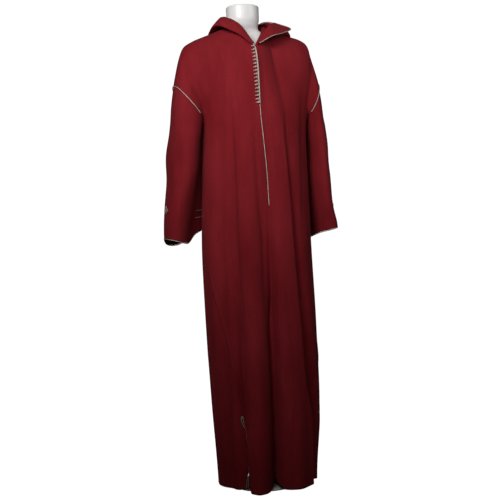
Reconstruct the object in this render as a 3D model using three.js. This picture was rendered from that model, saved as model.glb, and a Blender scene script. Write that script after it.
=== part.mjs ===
// A long hooded kaftan worn by a limbless dress form.
// Millimetres, +Z up. The origin is the middle of the underside of the form's base,
// the garment's front faces -Y and the wearer's right side is at -X.
// Cloth pieces are walls of one thickness, worked out from sections at named heights.

import * as THREE from 'three';
import { mergeVertices } from 'three/addons/utils/BufferGeometryUtils.js';

// ---------------------------------------------------------------- driving dimensions

const CLOTH = 2; // thickness of every cloth wall
const SEAM_GAP = 0.3; // clear space between two pieces that are sewn together
const HEM_Z = 12; // mean height of the hem above the floor
const SLIT_TOP_Z = 243; // top of the two side slits
const SLIT_OPEN = 11; // how far a side slit stands open
const SLIT_ROUND = 16; // height of its round top
const UNDERARM_Z = 1165; // where the side seam meets the armhole
const SLEEVE_CLEAR = 0.6; // clear space between a sleeve's top edge and the armhole's edge
const UNDERARM_CLEAR = 3.4; // that space is so many times wider right under the arm
const CORD_RADIUS = 1.5; // silk cord over seams and edges
const BRAID_WIDTH = 5; // flat braid beside the knots
const BRAID_THICK = 1.2;
const BRAID_LIFT = 1.1; // clear space under braid and cord that lie on the cloth
const KNOTS = 17;
const KNOT_RADIUS = 3.4;
const KNOTS_TOP_Z = 1380; // first knot, at the bottom of the neck opening
const KNOTS_BOTTOM_Z = 1203; // last knot, where the front opening ends
const FRONT_CORD_BOTTOM_Z = 885;
const MOTIF_SIZE = 22; // side of the braided triangle above each cuff
const TUCK_TURN = 230; // where round the arm a sleeve's inner back corner is
const TUCK_WIDTH = 32;
const MOTIF_TOP_Z = 899;
const MOTIF_RADIUS = 1.1; // braid of the triangle
const MOTIF_LIFT = 0.75; // clear space under it
const BAR_RADIUS = 1.2; // short bars of braid on the back of each sleeve
const BAR_HEIGHTS = [884, 862];
const BAR_TURNS = { from: 198, to: 228 };
const BAR_RISE = 5;
const BAR_LIFT = { right: 0.95, left: 0.5 }; // clear space under them: the right sleeve is hollow there
const MOTIF_CORNERS = [
  // turn round the arm, and drop below the top as a share of the triangle's side
  { turn: 22, drop: 0 },
  { turn: 40, drop: 0.75 },
  { turn: 14, drop: 1.25 },
];
const FIRST_KNOT_DROP = 4; // the first knot lies this far below the top of the braid
const BRAID_FOOT = 2; // the braid runs this far below the last knot
const FRONT_CORD_DROP = 6; // the front cord starts this far below the last knot
const OPENING_FOOT = 8; // the front opening ends this far below the last knot
const SLIT_CORD_FOOT = 8; // the slit cords end this far above the hem
const KNOT_FACETS = { round: 7, tall: 5 };
const ARMHOLE_CORD_STEPS = 24;
const SLIT_CORD_STEPS = 7;
const BAR_STEPS = 8;
const POLE_SIDES = 20;
const BASE_SIDES = 40;
const TRIM_LIFT = 0.5; // clear space under trim on nearly flat cloth
const ARMHOLE_CORD_REACH = 132; // how far round the arm, each way from the shoulder, its cord runs
const DEG = Math.PI / 180;

// Level sections of the body, an ellipse at each height.
const BODY_SECTIONS = [
  { z: 10, cx: 8, cy: 4, a: 164, b: 150 },
  { z: 60, cx: 9, cy: 4, a: 166, b: 150 },
  { z: 240, cx: 14, cy: 4, a: 178, b: 150 },
  { z: 500, cx: 12, cy: 4, a: 181, b: 146 },
  { z: 750, cx: 10, cy: 4, a: 179, b: 140 },
  { z: 950, cx: 15, cy: 4, a: 174, b: 132 },
  { z: 1080, cx: 19, cy: 4, a: 169, b: 126 },
  { z: 1140, cx: 21, cy: 4, a: 168, b: 123 },
  { z: 1165, cx: 23, cy: 4, a: 172, b: 121 },
  { z: 1200, cx: 23, cy: 4, a: 174, b: 119 },
];

// Level sections of each sleeve. lean slides the section sideways as it goes back, and
// tuck draws its inner back corner in, so that the back of the sleeve nears the body.
const SLEEVE_SECTIONS = {
  right: [
    { z: 740, cx: -254, cy: 14, a: 36, b: 74, lean: 0.2, tuck: 58 },
    { z: 796, cx: -252, cy: 14, a: 38, b: 76, lean: 0.2, tuck: 58 },
    { z: 866, cx: -244, cy: 14, a: 42, b: 80, lean: 0.16, tuck: 58 },
    { z: 953, cx: -231, cy: 14, a: 45, b: 82, lean: 0.08, tuck: 47 },
    { z: 1062, cx: -220, cy: 14, a: 46, b: 80, lean: 0, tuck: 33 },
    { z: 1140, cx: -205, cy: 12, a: 48, b: 74, lean: 0, tuck: 7 },
    { z: 1165, cx: -200, cy: 8, a: 50, b: 71, lean: 0, tuck: 0 },
    { z: 1217, cx: -199, cy: 4, a: 46, b: 66, lean: 0, tuck: 0 },
    { z: 1290, cx: -192, cy: 0, a: 41, b: 58, lean: 0, tuck: 0 },
  ],
  left: [
    { z: 740, cx: 244, cy: 20, a: 33, b: 80, lean: -0.14, tuck: 0 },
    { z: 821, cx: 244, cy: 20, a: 33, b: 82, lean: -0.1, tuck: 0 },
    { z: 884, cx: 237, cy: 20, a: 32, b: 84, lean: -0.04, tuck: 0 },
    { z: 953, cx: 234, cy: 20, a: 32, b: 84, lean: 0, tuck: 0 },
    { z: 1062, cx: 232, cy: 18, a: 32, b: 82, lean: 0, tuck: 0 },
    { z: 1140, cx: 226, cy: 14, a: 31, b: 76, lean: 0, tuck: 0 },
    { z: 1165, cx: 223, cy: 9, a: 28, b: 72, lean: 0, tuck: 0 },
    { z: 1217, cx: 219, cy: 4, a: 27, b: 66, lean: 0, tuck: 0 },
    { z: 1290, cx: 210, cy: 0, a: 27, b: 58, lean: 0, tuck: 0 },
  ],
};

// Where the armhole seam starts, at the shoulder, and how the edge of the cuff runs
// round the arm: turn is 0 outside the arm, 90 in front, 180 inside it and 270 behind.
const ARMHOLE_TOP_Z = { right: 1274, left: 1281 };
const CUFF_EDGE = {
  right: [
    { turn: 0, z: 803 },
    { turn: 50, z: 797 },
    { turn: 100, z: 788 },
    { turn: 150, z: 781 },
    { turn: 190, z: 788 },
    { turn: 230, z: 824 },
    { turn: 258, z: 812 },
    { turn: 285, z: 792 },
    { turn: 325, z: 796 },
    { turn: 360, z: 803 },
  ],
  left: [
    { turn: 0, z: 815 },
    { turn: 50, z: 812 },
    { turn: 100, z: 807 },
    { turn: 160, z: 800 },
    { turn: 210, z: 792 },
    { turn: 260, z: 795 },
    { turn: 310, z: 808 },
    { turn: 360, z: 815 },
  ],
};

// The shoulder line from the top of the armhole to the neck, seen from the front.
const SHOULDER = {
  right: [
    { x: -233, z: 1291 },
    { x: -221, z: 1342 },
    { x: -211, z: 1374 },
    { x: -199, z: 1397 },
    { x: -170, z: 1416 },
    { x: -116, z: 1438 },
    { x: -58, z: 1463 },
  ],
  left: [
    { x: 236, z: 1297 },
    { x: 227, z: 1340 },
    { x: 218, z: 1374 },
    { x: 209, z: 1408 },
    { x: 188, z: 1424 },
    { x: 122, z: 1443 },
    { x: 64, z: 1463 },
  ],
};
const NECK_FRONT = { x: 9, y: -84, z: 1384 }; // bottom of the open neck
const NECK_BACK = { x: 3, y: 64, z: 1464 };

// Height of the hem round the skirt: it dips at the folds that stand forward.
const HEM_EDGE = [
  { bearing: -180, z: 16 },
  { bearing: -90, z: 15 },
  { bearing: -45, z: 13 },
  { bearing: -21, z: 8 },
  { bearing: -3, z: 11 },
  { bearing: 22, z: 7 },
  { bearing: 60, z: 6 },
  { bearing: 95, z: 8 },
  { bearing: 180, z: 16 },
];

// Long folds of the skirt. Each runs down three bearings, measured round from the
// front, positive towards the wearer's left. A negative depth is a ridge.
const FOLDS = [
  { name: 'side soft', top: -46, mid: -54, hem: -62, width: 9, topDepth: 4, midDepth: 9, hemDepth: 8 },
  { name: 'left of lobe', top: -36, mid: -35, hem: -37, width: 5, topDepth: 3, midDepth: 15, hemDepth: 22 },
  { name: 'lobe', top: -18, mid: -20, hem: -21, width: 15, topDepth: -2, midDepth: -9, hemDepth: -20 },
  { name: 'centre valley', top: 5, mid: 3, hem: -3, width: 6, topDepth: 4, midDepth: 22, hemDepth: 33 },
  { name: 'left lobe', top: 13, mid: 18, hem: 22, width: 12, topDepth: -2, midDepth: -7, hemDepth: -8 },
  { name: 'left edge', top: 24, mid: 31, hem: 47, width: 7, topDepth: 2, midDepth: 9, hemDepth: 11 },
  { name: 'left side', top: 58, mid: 66, hem: 74, width: 9, topDepth: 2, midDepth: 8, hemDepth: 12 },
  { name: 'back one', top: 118, mid: 112, hem: 106, width: 10, topDepth: 3, midDepth: 11, hemDepth: 17 },
  { name: 'back two', top: 148, mid: 146, hem: 141, width: 9, topDepth: 4, midDepth: 13, hemDepth: 21 },
  { name: 'back three', top: 178, mid: 181, hem: 178, width: 10, topDepth: 5, midDepth: 15, hemDepth: 24 },
  { name: 'back four', top: 212, mid: 210, hem: 216, width: 9, topDepth: 4, midDepth: 12, hemDepth: 19 },
  { name: 'back five', top: 240, mid: 244, hem: 249, width: 10, topDepth: 3, midDepth: 10, hemDepth: 15 },
];

// Bearings of the side seams and of the front's centre line. The skirt hangs
// slightly turned, so they drift round towards the wearer's left.
const SEAM_BEARINGS = [
  { z: 18, right: -44, front: 12, left: 128 },
  { z: 225, right: -43, front: 11, left: 127 },
  { z: 330, right: -44, front: 10, left: 125 },
  { z: 432, right: -51, front: 9, left: 119 },
  { z: 539, right: -61, front: 8, left: 111 },
  { z: 633, right: -71, front: 6, left: 104 },
  { z: 760, right: -83, front: 4, left: 96 },
  { z: 885, right: -90, front: 3, left: 90 },
  { z: 1020, right: -90, front: 0, left: 90 },
  { z: 1165, right: -90, front: -5, left: 90 },
];

// Lines that run round the hood, from its seam at the neck, out under itself, round the
// outer fold and back over the top to its open edge. u goes round the neck: 0 and 1 are
// the front, a half is the middle of the back and 0 to a half is the wearer's right.
const HOOD_LINES = [
  // its seam at the neck
  [
    { u: 0, x: 8, y: -84, z: 1386 },
    { u: 0.12, x: -27, y: -56, z: 1430 },
    { u: 0.27, x: -60, y: 2, z: 1466 },
    { u: 0.4, x: -36, y: 54, z: 1468 },
    { u: 0.5, x: 3, y: 68, z: 1468 },
    { u: 0.6, x: 42, y: 54, z: 1468 },
    { u: 0.67, x: 60, y: 26, z: 1468 },
    { u: 0.73, x: 66, y: 2, z: 1466 },
    { u: 0.8, x: 56, y: -28, z: 1449 },
    { u: 0.88, x: 42, y: -56, z: 1430 },
    { u: 1, x: 11, y: -84, z: 1386 },
  ],
  // the turn under itself
  [
    { u: 0, x: 5, y: -87, z: 1387 },
    { u: 0.12, x: -37, y: -64, z: 1431 },
    { u: 0.27, x: -82, y: 0, z: 1461 },
    { u: 0.4, x: -72, y: 98, z: 1412 },
    { u: 0.5, x: 3, y: 132, z: 1370 },
    { u: 0.6, x: 80, y: 98, z: 1414 },
    { u: 0.67, x: 94, y: 50, z: 1448 },
    { u: 0.73, x: 104, y: 14, z: 1456 },
    { u: 0.8, x: 78, y: -26, z: 1446 },
    { u: 0.88, x: 50, y: -61, z: 1429 },
    { u: 1, x: 14, y: -87, z: 1387 },
  ],
  // the outer fold
  [
    { u: 0, x: 0, y: -91, z: 1388 },
    { u: 0.12, x: -48, y: -70, z: 1431 },
    { u: 0.27, x: -107, y: -4, z: 1455 },
    { u: 0.4, x: -92, y: 128, z: 1330 },
    { u: 0.5, x: 3, y: 158, z: 1196 },
    { u: 0.6, x: 106, y: 128, z: 1334 },
    { u: 0.67, x: 142, y: 74, z: 1414 },
    { u: 0.73, x: 164, y: 24, z: 1440 },
    { u: 0.8, x: 108, y: -22, z: 1437 },
    { u: 0.88, x: 61, y: -65, z: 1427 },
    { u: 1, x: 18, y: -91, z: 1388 },
  ],
  // the top layer
  [
    { u: 0, x: -1, y: -93, z: 1391 },
    { u: 0.12, x: -44, y: -72, z: 1442 },
    { u: 0.27, x: -98, y: -4, z: 1471 },
    { u: 0.4, x: -94, y: 142, z: 1404 },
    { u: 0.5, x: 3, y: 184, z: 1372 },
    { u: 0.6, x: 108, y: 142, z: 1404 },
    { u: 0.67, x: 138, y: 80, z: 1436 },
    { u: 0.73, x: 150, y: 22, z: 1460 },
    { u: 0.8, x: 102, y: -26, z: 1450 },
    { u: 0.88, x: 60, y: -67, z: 1436 },
    { u: 1, x: 19, y: -93, z: 1391 },
  ],
  // the roll round the neck opening
  [
    { u: 0, x: 4, y: -92, z: 1393 },
    { u: 0.12, x: -29, y: -64, z: 1457 },
    { u: 0.27, x: -71, y: 2, z: 1496 },
    { u: 0.4, x: -58, y: 78, z: 1484 },
    { u: 0.5, x: 3, y: 104, z: 1478 },
    { u: 0.6, x: 76, y: 78, z: 1480 },
    { u: 0.67, x: 94, y: 34, z: 1472 },
    { u: 0.73, x: 106, y: 0, z: 1478 },
    { u: 0.8, x: 88, y: -42, z: 1467 },
    { u: 0.88, x: 61, y: -75, z: 1447 },
    { u: 1, x: 18, y: -95, z: 1395 },
  ],
  // its open edge
  [
    { u: 0, x: 8, y: -90, z: 1393 },
    { u: 0.12, x: -24, y: -58, z: 1453 },
    { u: 0.27, x: -64, y: 2, z: 1489 },
    { u: 0.4, x: -48, y: 70, z: 1477 },
    { u: 0.5, x: 3, y: 92, z: 1472 },
    { u: 0.6, x: 66, y: 68, z: 1487 },
    { u: 0.67, x: 96, y: 26, z: 1487 },
    { u: 0.73, x: 152, y: -18, z: 1458 },
    { u: 0.8, x: 106, y: -68, z: 1431 },
    { u: 0.88, x: 68, y: -95, z: 1417 },
    { u: 1, x: 19, y: -98, z: 1391 },
  ],
];

// Level sections of the dress form, an ellipse at each height.
const FORM_SECTIONS = [
  { z: 762, a: 120, b: 88 },
  { z: 790, a: 136, b: 96 },
  { z: 900, a: 140, b: 102 },
  { z: 1050, a: 118, b: 90 },
  { z: 1180, a: 130, b: 96 },
  { z: 1290, a: 144, b: 88 },
  { z: 1350, a: 148, b: 68 },
  { z: 1390, a: 146, b: 46 },
  { z: 1410, a: 136, b: 34 },
  { z: 1426, a: 114, b: 27 },
  { z: 1440, a: 76, b: 25 },
  { z: 1452, a: 52, b: 29 },
  { z: 1464, a: 48, b: 38 },
  { z: 1484, a: 52, b: 46 },
  { z: 1524, a: 53, b: 48 },
];
const FORM_CENTRE = { x: 1, y: 2 };
const NECK_TOP_CHAMFER = 4;
const POLE_RADIUS = 15;
const BASE_RADIUS = 104;
const BASE_HEIGHT = 8;
const BASE_CHAMFER = 2;

// How finely each wall is cut into faces.
const SKIRT_ROWS = 12; // from above the slits to the underarm
const ROW_GROWTH = 1.3; // rows lie closer together towards the hem
const SLIT_ROWS = 4;
const YOKE_ROWS = 10; // from the underarm to the shoulder
const FRONT_COLUMNS = 34;
const BACK_COLUMNS = 26;
const SLEEVE_ROWS = 11;
const SLEEVE_COLUMNS = 20;
const HOOD_ROWS = 12;
const HOOD_COLUMNS = 28;
const FORM_COLUMNS = 24;
const TRIM_ROWS = 20; // steps of the braid and cord down the front
const CORD_SIDES = 5;
const SHOULDER_SHARE = 0.7; // share of a panel's top columns on the shoulder
const FRONT_SLIT = 0.0011; // half width of the front opening, as a share of the front's columns
const WELD = 1e-4; // corners closer than this are one

// ---------------------------------------------------------------- finishes

const RED_CLOTH = { color: 0x7d2129, roughness: 0.95 };
const CORD_SILVER = { color: 0xbfae9f, roughness: 0.6 };
const FORM_WHITE = { color: 0xe4e2df, roughness: 0.25 };

// ---------------------------------------------------------------- small helpers

const vec = (x, y, z) => new THREE.Vector3(x, y, z);
const lerp = THREE.MathUtils.lerp;
const clamp = THREE.MathUtils.clamp;
const smooth = (x, from, to) => THREE.MathUtils.smoothstep(x, from, to);
const bell = (x, middle, width) => Math.exp(-(((x - middle) / width) ** 2));

/** Value of a named column at key = at, on a smooth curve through the rows of a table. */
function read(table, key, column, at) {
  const t = clamp(at, table[0][key], table[table.length - 1][key]);
  let k = 0;
  while (k < table.length - 2 && t > table[k + 1][key]) k += 1;
  const slope = (i) => {
    const low = table[Math.max(i - 1, 0)];
    const high = table[Math.min(i + 1, table.length - 1)];
    return (high[column] - low[column]) / (high[key] - low[key]);
  };
  const span = table[k + 1][key] - table[k][key];
  const s = (t - table[k][key]) / span;
  const h = (1 - s) ** 2;
  return (
    h * (1 + 2 * s) * table[k][column] +
    h * s * span * slope(k) +
    s * s * (3 - 2 * s) * table[k + 1][column] +
    s * s * (s - 1) * span * slope(k + 1)
  );
}

/** Direction straight out of a surface point(u, v), by small steps each way. */
function normalOf(point, u, v, du, dv) {
  const along = point(u + du, v).sub(point(u - du, v));
  const up = point(u, v + dv).sub(point(u, v - dv));
  return along.cross(up).normalize();
}

/** Normals of a grid of points, by differences between neighbours. */
function gridNormals(grid) {
  const last = grid.length - 1;
  return grid.map((row, i) =>
    row.map((_, j) => {
      const along = row[Math.min(j + 1, row.length - 1)].clone().sub(row[Math.max(j - 1, 0)]);
      const up = grid[Math.min(i + 1, last)][j].clone().sub(grid[Math.max(i - 1, 0)][j]);
      return along.cross(up).normalize();
    }),
  );
}

/** A closed geometry from corner positions and triangles, turned to face outwards. */
function closedGeometry(points, faces) {
  let volume = 0;
  for (const [a, b, c] of faces) volume += points[a].dot(points[b].clone().cross(points[c]));
  const turned = volume < 0 ? faces.map(([a, b, c]) => [a, c, b]) : faces;
  const geometry = new THREE.BufferGeometry();
  const positions = points.flatMap((p) => [p.x, p.y, p.z]);
  geometry.setAttribute('position', new THREE.Float32BufferAttribute(positions, 3));
  geometry.setIndex(turned.flat());
  return geometry;
}

/**
 * A wall between an outer and an inner grid of points. round joins the last column
 * to the first, and skip(row, column) leaves a cell out.
 */
function wallGeometry(outer, inner, { round = false, skip = () => false } = {}) {
  const rows = outer.length;
  const columns = outer[0].length;
  const points = [...outer.flat(), ...inner.flat()];
  const faces = [];
  const half = rows * columns;
  const at = (i, j, side) => side * half + i * columns + (j % columns);
  const cells = round ? columns : columns - 1;
  const present = (i, j) => {
    if (i < 0 || i >= rows - 1) return false;
    if (!round && (j < 0 || j >= cells)) return false;
    return !skip(i, (j + cells) % cells);
  };
  const quad = (a, b, c, d) => faces.push([a, b, c], [a, c, d]);
  for (let i = 0; i < rows - 1; i += 1) {
    for (let j = 0; j < cells; j += 1) {
      if (!present(i, j)) continue;
      quad(at(i, j, 0), at(i, j + 1, 0), at(i + 1, j + 1, 0), at(i + 1, j, 0));
      quad(at(i, j, 1), at(i + 1, j, 1), at(i + 1, j + 1, 1), at(i, j + 1, 1));
      if (!present(i - 1, j)) quad(at(i, j, 1), at(i, j + 1, 1), at(i, j + 1, 0), at(i, j, 0));
      if (!present(i + 1, j)) {
        quad(at(i + 1, j, 0), at(i + 1, j + 1, 0), at(i + 1, j + 1, 1), at(i + 1, j, 1));
      }
      if (!present(i, j - 1)) quad(at(i, j, 0), at(i + 1, j, 0), at(i + 1, j, 1), at(i, j, 1));
      if (!present(i, j + 1)) {
        quad(at(i, j + 1, 1), at(i + 1, j + 1, 1), at(i + 1, j + 1, 0), at(i, j + 1, 0));
      }
    }
  }
  return mergeVertices(closedGeometry(points, faces), WELD);
}

/** Inner grid of a wall: each outer point moved in along its normal. */
function insideOf(grid, normals, depth) {
  return grid.map((row, i) => row.map((p, j) => p.clone().addScaledVector(normals[i][j], -depth)));
}

/** A cord of CORD_SIDES sides along points. ring joins its end to its start without caps. */
function cordGeometry(path, radius, { ring = false } = {}) {
  const sides = CORD_SIDES;
  const count = path.length;
  const points = [];
  const faces = [];
  let side = vec(0, 0, 1);
  for (let i = 0; i < count; i += 1) {
    const before = ring ? path[(i + count - 1) % count] : path[Math.max(i - 1, 0)];
    const after = ring ? path[(i + 1) % count] : path[Math.min(i + 1, count - 1)];
    const run = after.clone().sub(before).normalize();
    if (i === 0 && Math.abs(run.z) > 0.8) side = vec(0, -1, 0);
    side = side.addScaledVector(run, -side.dot(run)).normalize();
    const cross = run.clone().cross(side);
    for (let k = 0; k < sides; k += 1) {
      const turn = (2 * Math.PI * k) / sides;
      const middle = path[i].clone().addScaledVector(side, radius * Math.cos(turn));
      points.push(middle.addScaledVector(cross, radius * Math.sin(turn)));
    }
  }
  const last = ring ? count : count - 1;
  for (let i = 0; i < last; i += 1) {
    for (let k = 0; k < sides; k += 1) {
      const a = i * sides + k;
      const b = i * sides + ((k + 1) % sides);
      const c = ((i + 1) % count) * sides;
      faces.push([a, b, c + ((k + 1) % sides)], [a, c + ((k + 1) % sides), c + k]);
    }
  }
  if (!ring) {
    for (let k = 1; k < sides - 1; k += 1) {
      faces.push([0, k + 1, k]);
      const end = (count - 1) * sides;
      faces.push([end, end + k, end + k + 1]);
    }
  }
  return closedGeometry(points, faces);
}

// ---------------------------------------------------------------- the body

/** Depth of all the folds at a bearing and height, in towards the axis. */
function foldDepth(bearing, z) {
  const middle = (UNDERARM_Z + HEM_Z) / 2;
  let depth = 0;
  for (const fold of FOLDS) {
    const low = z < middle;
    const s = low ? (z - HEM_Z) / (middle - HEM_Z) : (z - middle) / (UNDERARM_Z - middle);
    const bearingAt = low ? lerp(fold.hem, fold.mid, s) : lerp(fold.mid, fold.top, s);
    const depthAt = low ? lerp(fold.hemDepth, fold.midDepth, s) : lerp(fold.midDepth, fold.topDepth, s);
    const off = ((bearing - bearingAt + 540) % 360) - 180;
    depth += depthAt * bell(off, 0, fold.width);
  }
  return depth;
}

/** Point of the skirt's outside at a bearing in degrees and a height. */
function skirtPoint(bearing, z) {
  const fold = foldDepth(bearing, z);
  const a = read(BODY_SECTIONS, 'z', 'a', z) - fold;
  const b = read(BODY_SECTIONS, 'z', 'b', z) - fold;
  const x = read(BODY_SECTIONS, 'z', 'cx', z) + a * Math.sin(bearing * DEG);
  const y = read(BODY_SECTIONS, 'z', 'cy', z) - b * Math.cos(bearing * DEG);
  return vec(x, y, z);
}

const skirtNormal = (bearing, z) => normalOf(skirtPoint, bearing, z, 0.4, 1);

/** Point of a sleeve's outside. turn is 0 outside the arm, 90 in front, 180 inside it. */
function sleevePoint(side, turn, z) {
  const table = SLEEVE_SECTIONS[side];
  const out = side === 'right' ? -1 : 1;
  const deep = -read(table, 'z', 'b', z) * Math.sin(turn * DEG);
  const x = read(table, 'z', 'cx', z) + out * read(table, 'z', 'a', z) * Math.cos(turn * DEG);
  const inTuck = bell(((turn % 360) + 360) % 360, TUCK_TURN, TUCK_WIDTH);
  const tuck = -out * read(table, 'z', 'tuck', z) * inTuck;
  return vec(x + tuck + read(table, 'z', 'lean', z) * deep, read(table, 'z', 'cy', z) + deep, z);
}

function sleeveNormal(side, turn, z) {
  const n = normalOf((t, h) => sleevePoint(side, t, h), turn, z, 1, 1);
  return side === 'right' ? n : n.negate();
}

/** Height of the armhole seam round the arm. */
const armholeZ = (side, turn) => lerp(UNDERARM_Z, ARMHOLE_TOP_Z[side], (1 + Math.cos(turn * DEG)) / 2);

const armholePoint = (side, turn) => sleevePoint(side, turn, armholeZ(side, turn));

/** 1 right under the arm, where the armhole's edge faces down, and 0 over the rest of it. */
const underarm = (turn) => smooth(Math.abs(turn), 138, 180);

/** Out of the cloth at the armhole seam: off the arm, and straight down under it. */
function armholeNormal(side, turn) {
  const under = underarm(turn);
  const off = sleeveNormal(side, turn, armholeZ(side, turn)).multiplyScalar(1 - under);
  return off.add(vec(0, 0, -under)).normalize();
}

const curve3 = (points) => new THREE.CatmullRomCurve3(points, false, 'centripetal');

// sign is 1 for the front and -1 for the back. neck is the middle of the neck's edge, and
// bow is how far each way that edge has come half way between the shoulder and there.
const PANELS = {
  front: { sign: 1, neck: NECK_FRONT, bow: { x: 0.42, y: 0.56, z: 0.4 } },
  back: { sign: -1, neck: NECK_BACK, bow: { x: 0.5, y: 0.84, z: 0.5 } },
};

/** Half of the top edge of a panel: from the armhole over the shoulder to the neck's middle. */
function topEdge(side, { sign, neck, bow }) {
  const y = (-sign * SEAM_GAP) / 2;
  const start = armholePoint(side, 0);
  const line = SHOULDER[side].map((p) => vec(p.x, y, p.z));
  const neckSide = line[line.length - 1];
  const between = vec(
    lerp(neckSide.x, neck.x, bow.x),
    lerp(y, neck.y, bow.y),
    lerp(neckSide.z, neck.z, bow.z),
  );
  return {
    shoulder: curve3([vec(start.x, y, start.z), ...line]),
    neck: curve3([neckSide, between, vec(neck.x, neck.y, neck.z)]),
  };
}

/** Point of a top edge: the shoulder takes SHOULDER_SHARE of s and the neck the rest. */
function onTopEdge(edge, s) {
  if (s < SHOULDER_SHARE) return edge.shoulder.getPointAt(s / SHOULDER_SHARE);
  return edge.neck.getPointAt((s - SHOULDER_SHARE) / (1 - SHOULDER_SHARE));
}

for (const panel of Object.values(PANELS)) {
  panel.right = topEdge('right', panel);
  panel.left = topEdge('left', panel);
}

/** Bearing of a panel's column u at a height, before the seam gaps are taken off. */
function bearingOf(name, u, z) {
  const right = read(SEAM_BEARINGS, 'z', 'right', z);
  const left = read(SEAM_BEARINGS, 'z', 'left', z);
  if (name === 'back') return lerp(right, left - 360, u);
  const front = read(SEAM_BEARINGS, 'z', 'front', z);
  return u < 0.5 ? lerp(right, front, u * 2) : lerp(front, left, u * 2 - 1);
}

/** How far each edge of a panel keeps off its seam line. */
function seamSetback(z) {
  return SEAM_GAP / 2 + (SLIT_OPEN / 2) * (1 - smooth(z, SLIT_TOP_Z - SLIT_ROUND, SLIT_TOP_Z));
}

/** Height of the hem at a bearing. */
const hemZ = (bearing) => read(HEM_EDGE, 'bearing', 'z', ((bearing + 540) % 360) - 180);

/** Bearing of a panel's column u at a height, clear of the seam or slit at its edges. */
function panelBearing(name, u, z) {
  const setback = PANELS[name].sign * (seamSetback(z) / (SEAM_RADIUS * DEG));
  return bearingOf(name, u, z) + setback * ((1 - u) ** SETBACK_FADE - u ** SETBACK_FADE);
}

/** How the yoke swells over the chest or back, and sinks between it and the arms. */
const YOKE = {
  front: { swell: 34, rightValley: 15, leftValley: 11 },
  back: { swell: 36, rightValley: 11, leftValley: 11 },
};
const VALLEY_PLACE = 0.12; // share of the panel's width between an armhole and its valley
const VALLEY_WIDTH = 0.05;
const SEAM_RADIUS = 150; // mean distance of the side seams from the axis
const SETBACK_FADE = 6; // how quickly a seam's setback dies away across a panel
const FRONT_RADIUS = 130; // distance of the front's centre line from the axis
const EDGE_PULL = 5; // how quickly the pull of the armhole dies away across the yoke

/** Point of the yoke: straight up from the underarm to the shoulder, drawn to the armholes. */
function yokePoint(name, u, v) {
  const { right, left, sign } = PANELS[name];
  const low = (s) => skirtPoint(panelBearing(name, s, UNDERARM_Z), UNDERARM_Z);
  const high = (s) => (s < 0.5 ? onTopEdge(right, s * 2) : onTopEdge(left, (1 - s) * 2));
  const pull = (side, end) => {
    const keep = (SEAM_GAP / 2) * sign * (smooth(v, 0.9, 1) + 1 - smooth(v, 0, 0.1));
    const hole = armholePoint(side, sign * 180 * (1 - v)).add(vec(0, -keep, 0));
    return hole.sub(low(end).multiplyScalar(1 - v).addScaledVector(high(end), v));
  };
  const p = low(u).multiplyScalar(1 - v).addScaledVector(high(u), v);
  p.addScaledVector(pull('right', 0), (1 - u) ** EDGE_PULL).addScaledVector(pull('left', 1), u ** EDGE_PULL);
  const { swell, rightValley, leftValley } = YOKE[name];
  const flat = 1 - 0.5 * bell(u, 0.5, 0.2);
  const rise = 3.4 * v ** 1.5 * Math.sqrt(1 - v); // 0 at both ends, about 1 at three quarters
  const lift = rise * Math.sin(Math.PI * u) ** 0.6 * flat;
  const ends = smooth(v, 0, 0.25) * (1 - smooth(v, 0.7, 1)) * smooth(u, 0, 0.04) * smooth(1 - u, 0, 0.04);
  const sink =
    rightValley * bell(u, VALLEY_PLACE, VALLEY_WIDTH) +
    leftValley * bell(u, 1 - VALLEY_PLACE, VALLEY_WIDTH);
  p.y -= sign * (swell * lift - sink * ends);
  return p;
}

/** Direction out of the cloth along the shoulder line, level with the seam. */
function shoulderNormal(edge, s) {
  const t = edge.shoulder.getTangentAt(clamp(s / SHOULDER_SHARE, 0.01, 1));
  const n = vec(-t.z, 0, t.x).normalize();
  return n.z < 0 || (n.z < 0.3 && n.x * edge.shoulder.getPointAt(0).x < 0) ? n.negate() : n;
}

/** Outer points and wall normals of a panel, row by row from the hem to the neck. */
function panelGrid(name, columns) {
  const grid = [];
  const normals = [];
  const heights = [];
  for (let i = 0; i < SLIT_ROWS; i += 1) {
    heights.push(lerp(HEM_Z, SLIT_TOP_Z - SLIT_ROUND, i / (SLIT_ROWS - 1)));
  }
  for (let i = 0; i <= SKIRT_ROWS; i += 1) {
    heights.push(lerp(SLIT_TOP_Z, UNDERARM_Z, (i / SKIRT_ROWS) ** ROW_GROWTH));
  }
  for (const level of heights) {
    const places = columns.map((u) => {
      const bearing = panelBearing(name, u, level);
      return { bearing, z: level === HEM_Z ? hemZ(bearing) : level };
    });
    grid.push(places.map(({ bearing, z }) => skirtPoint(bearing, z)));
    normals.push(places.map(({ bearing, z }) => skirtNormal(bearing, z)));
  }
  const yokeStart = grid.length;
  for (let i = 1; i <= YOKE_ROWS; i += 1) {
    grid.push(columns.map((u) => yokePoint(name, u, i / YOKE_ROWS)));
  }
  const free = gridNormals(grid);
  for (let i = yokeStart; i < grid.length; i += 1) {
    const v = (i - yokeStart + 1) / YOKE_ROWS;
    normals.push(free[i].map((n) => (PANELS[name].sign > 0 ? n : n.clone().negate())));
    normals[i][0] = armholeNormal('right', PANELS[name].sign * 180 * (1 - v));
    normals[i][columns.length - 1] = armholeNormal('left', PANELS[name].sign * 180 * (1 - v));
  }
  normals[yokeStart - 1][0] = armholeNormal('right', 180);
  normals[yokeStart - 1][columns.length - 1] = armholeNormal('left', 180);
  const top = normals[normals.length - 1];
  columns.forEach((u, j) => {
    const half = u < 0.5 ? PANELS[name].right : PANELS[name].left;
    const s = (u < 0.5 ? u : 1 - u) * 2;
    if (s <= SHOULDER_SHARE) top[j] = shoulderNormal(half, s);
  });
  return { grid, normals };
}

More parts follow.
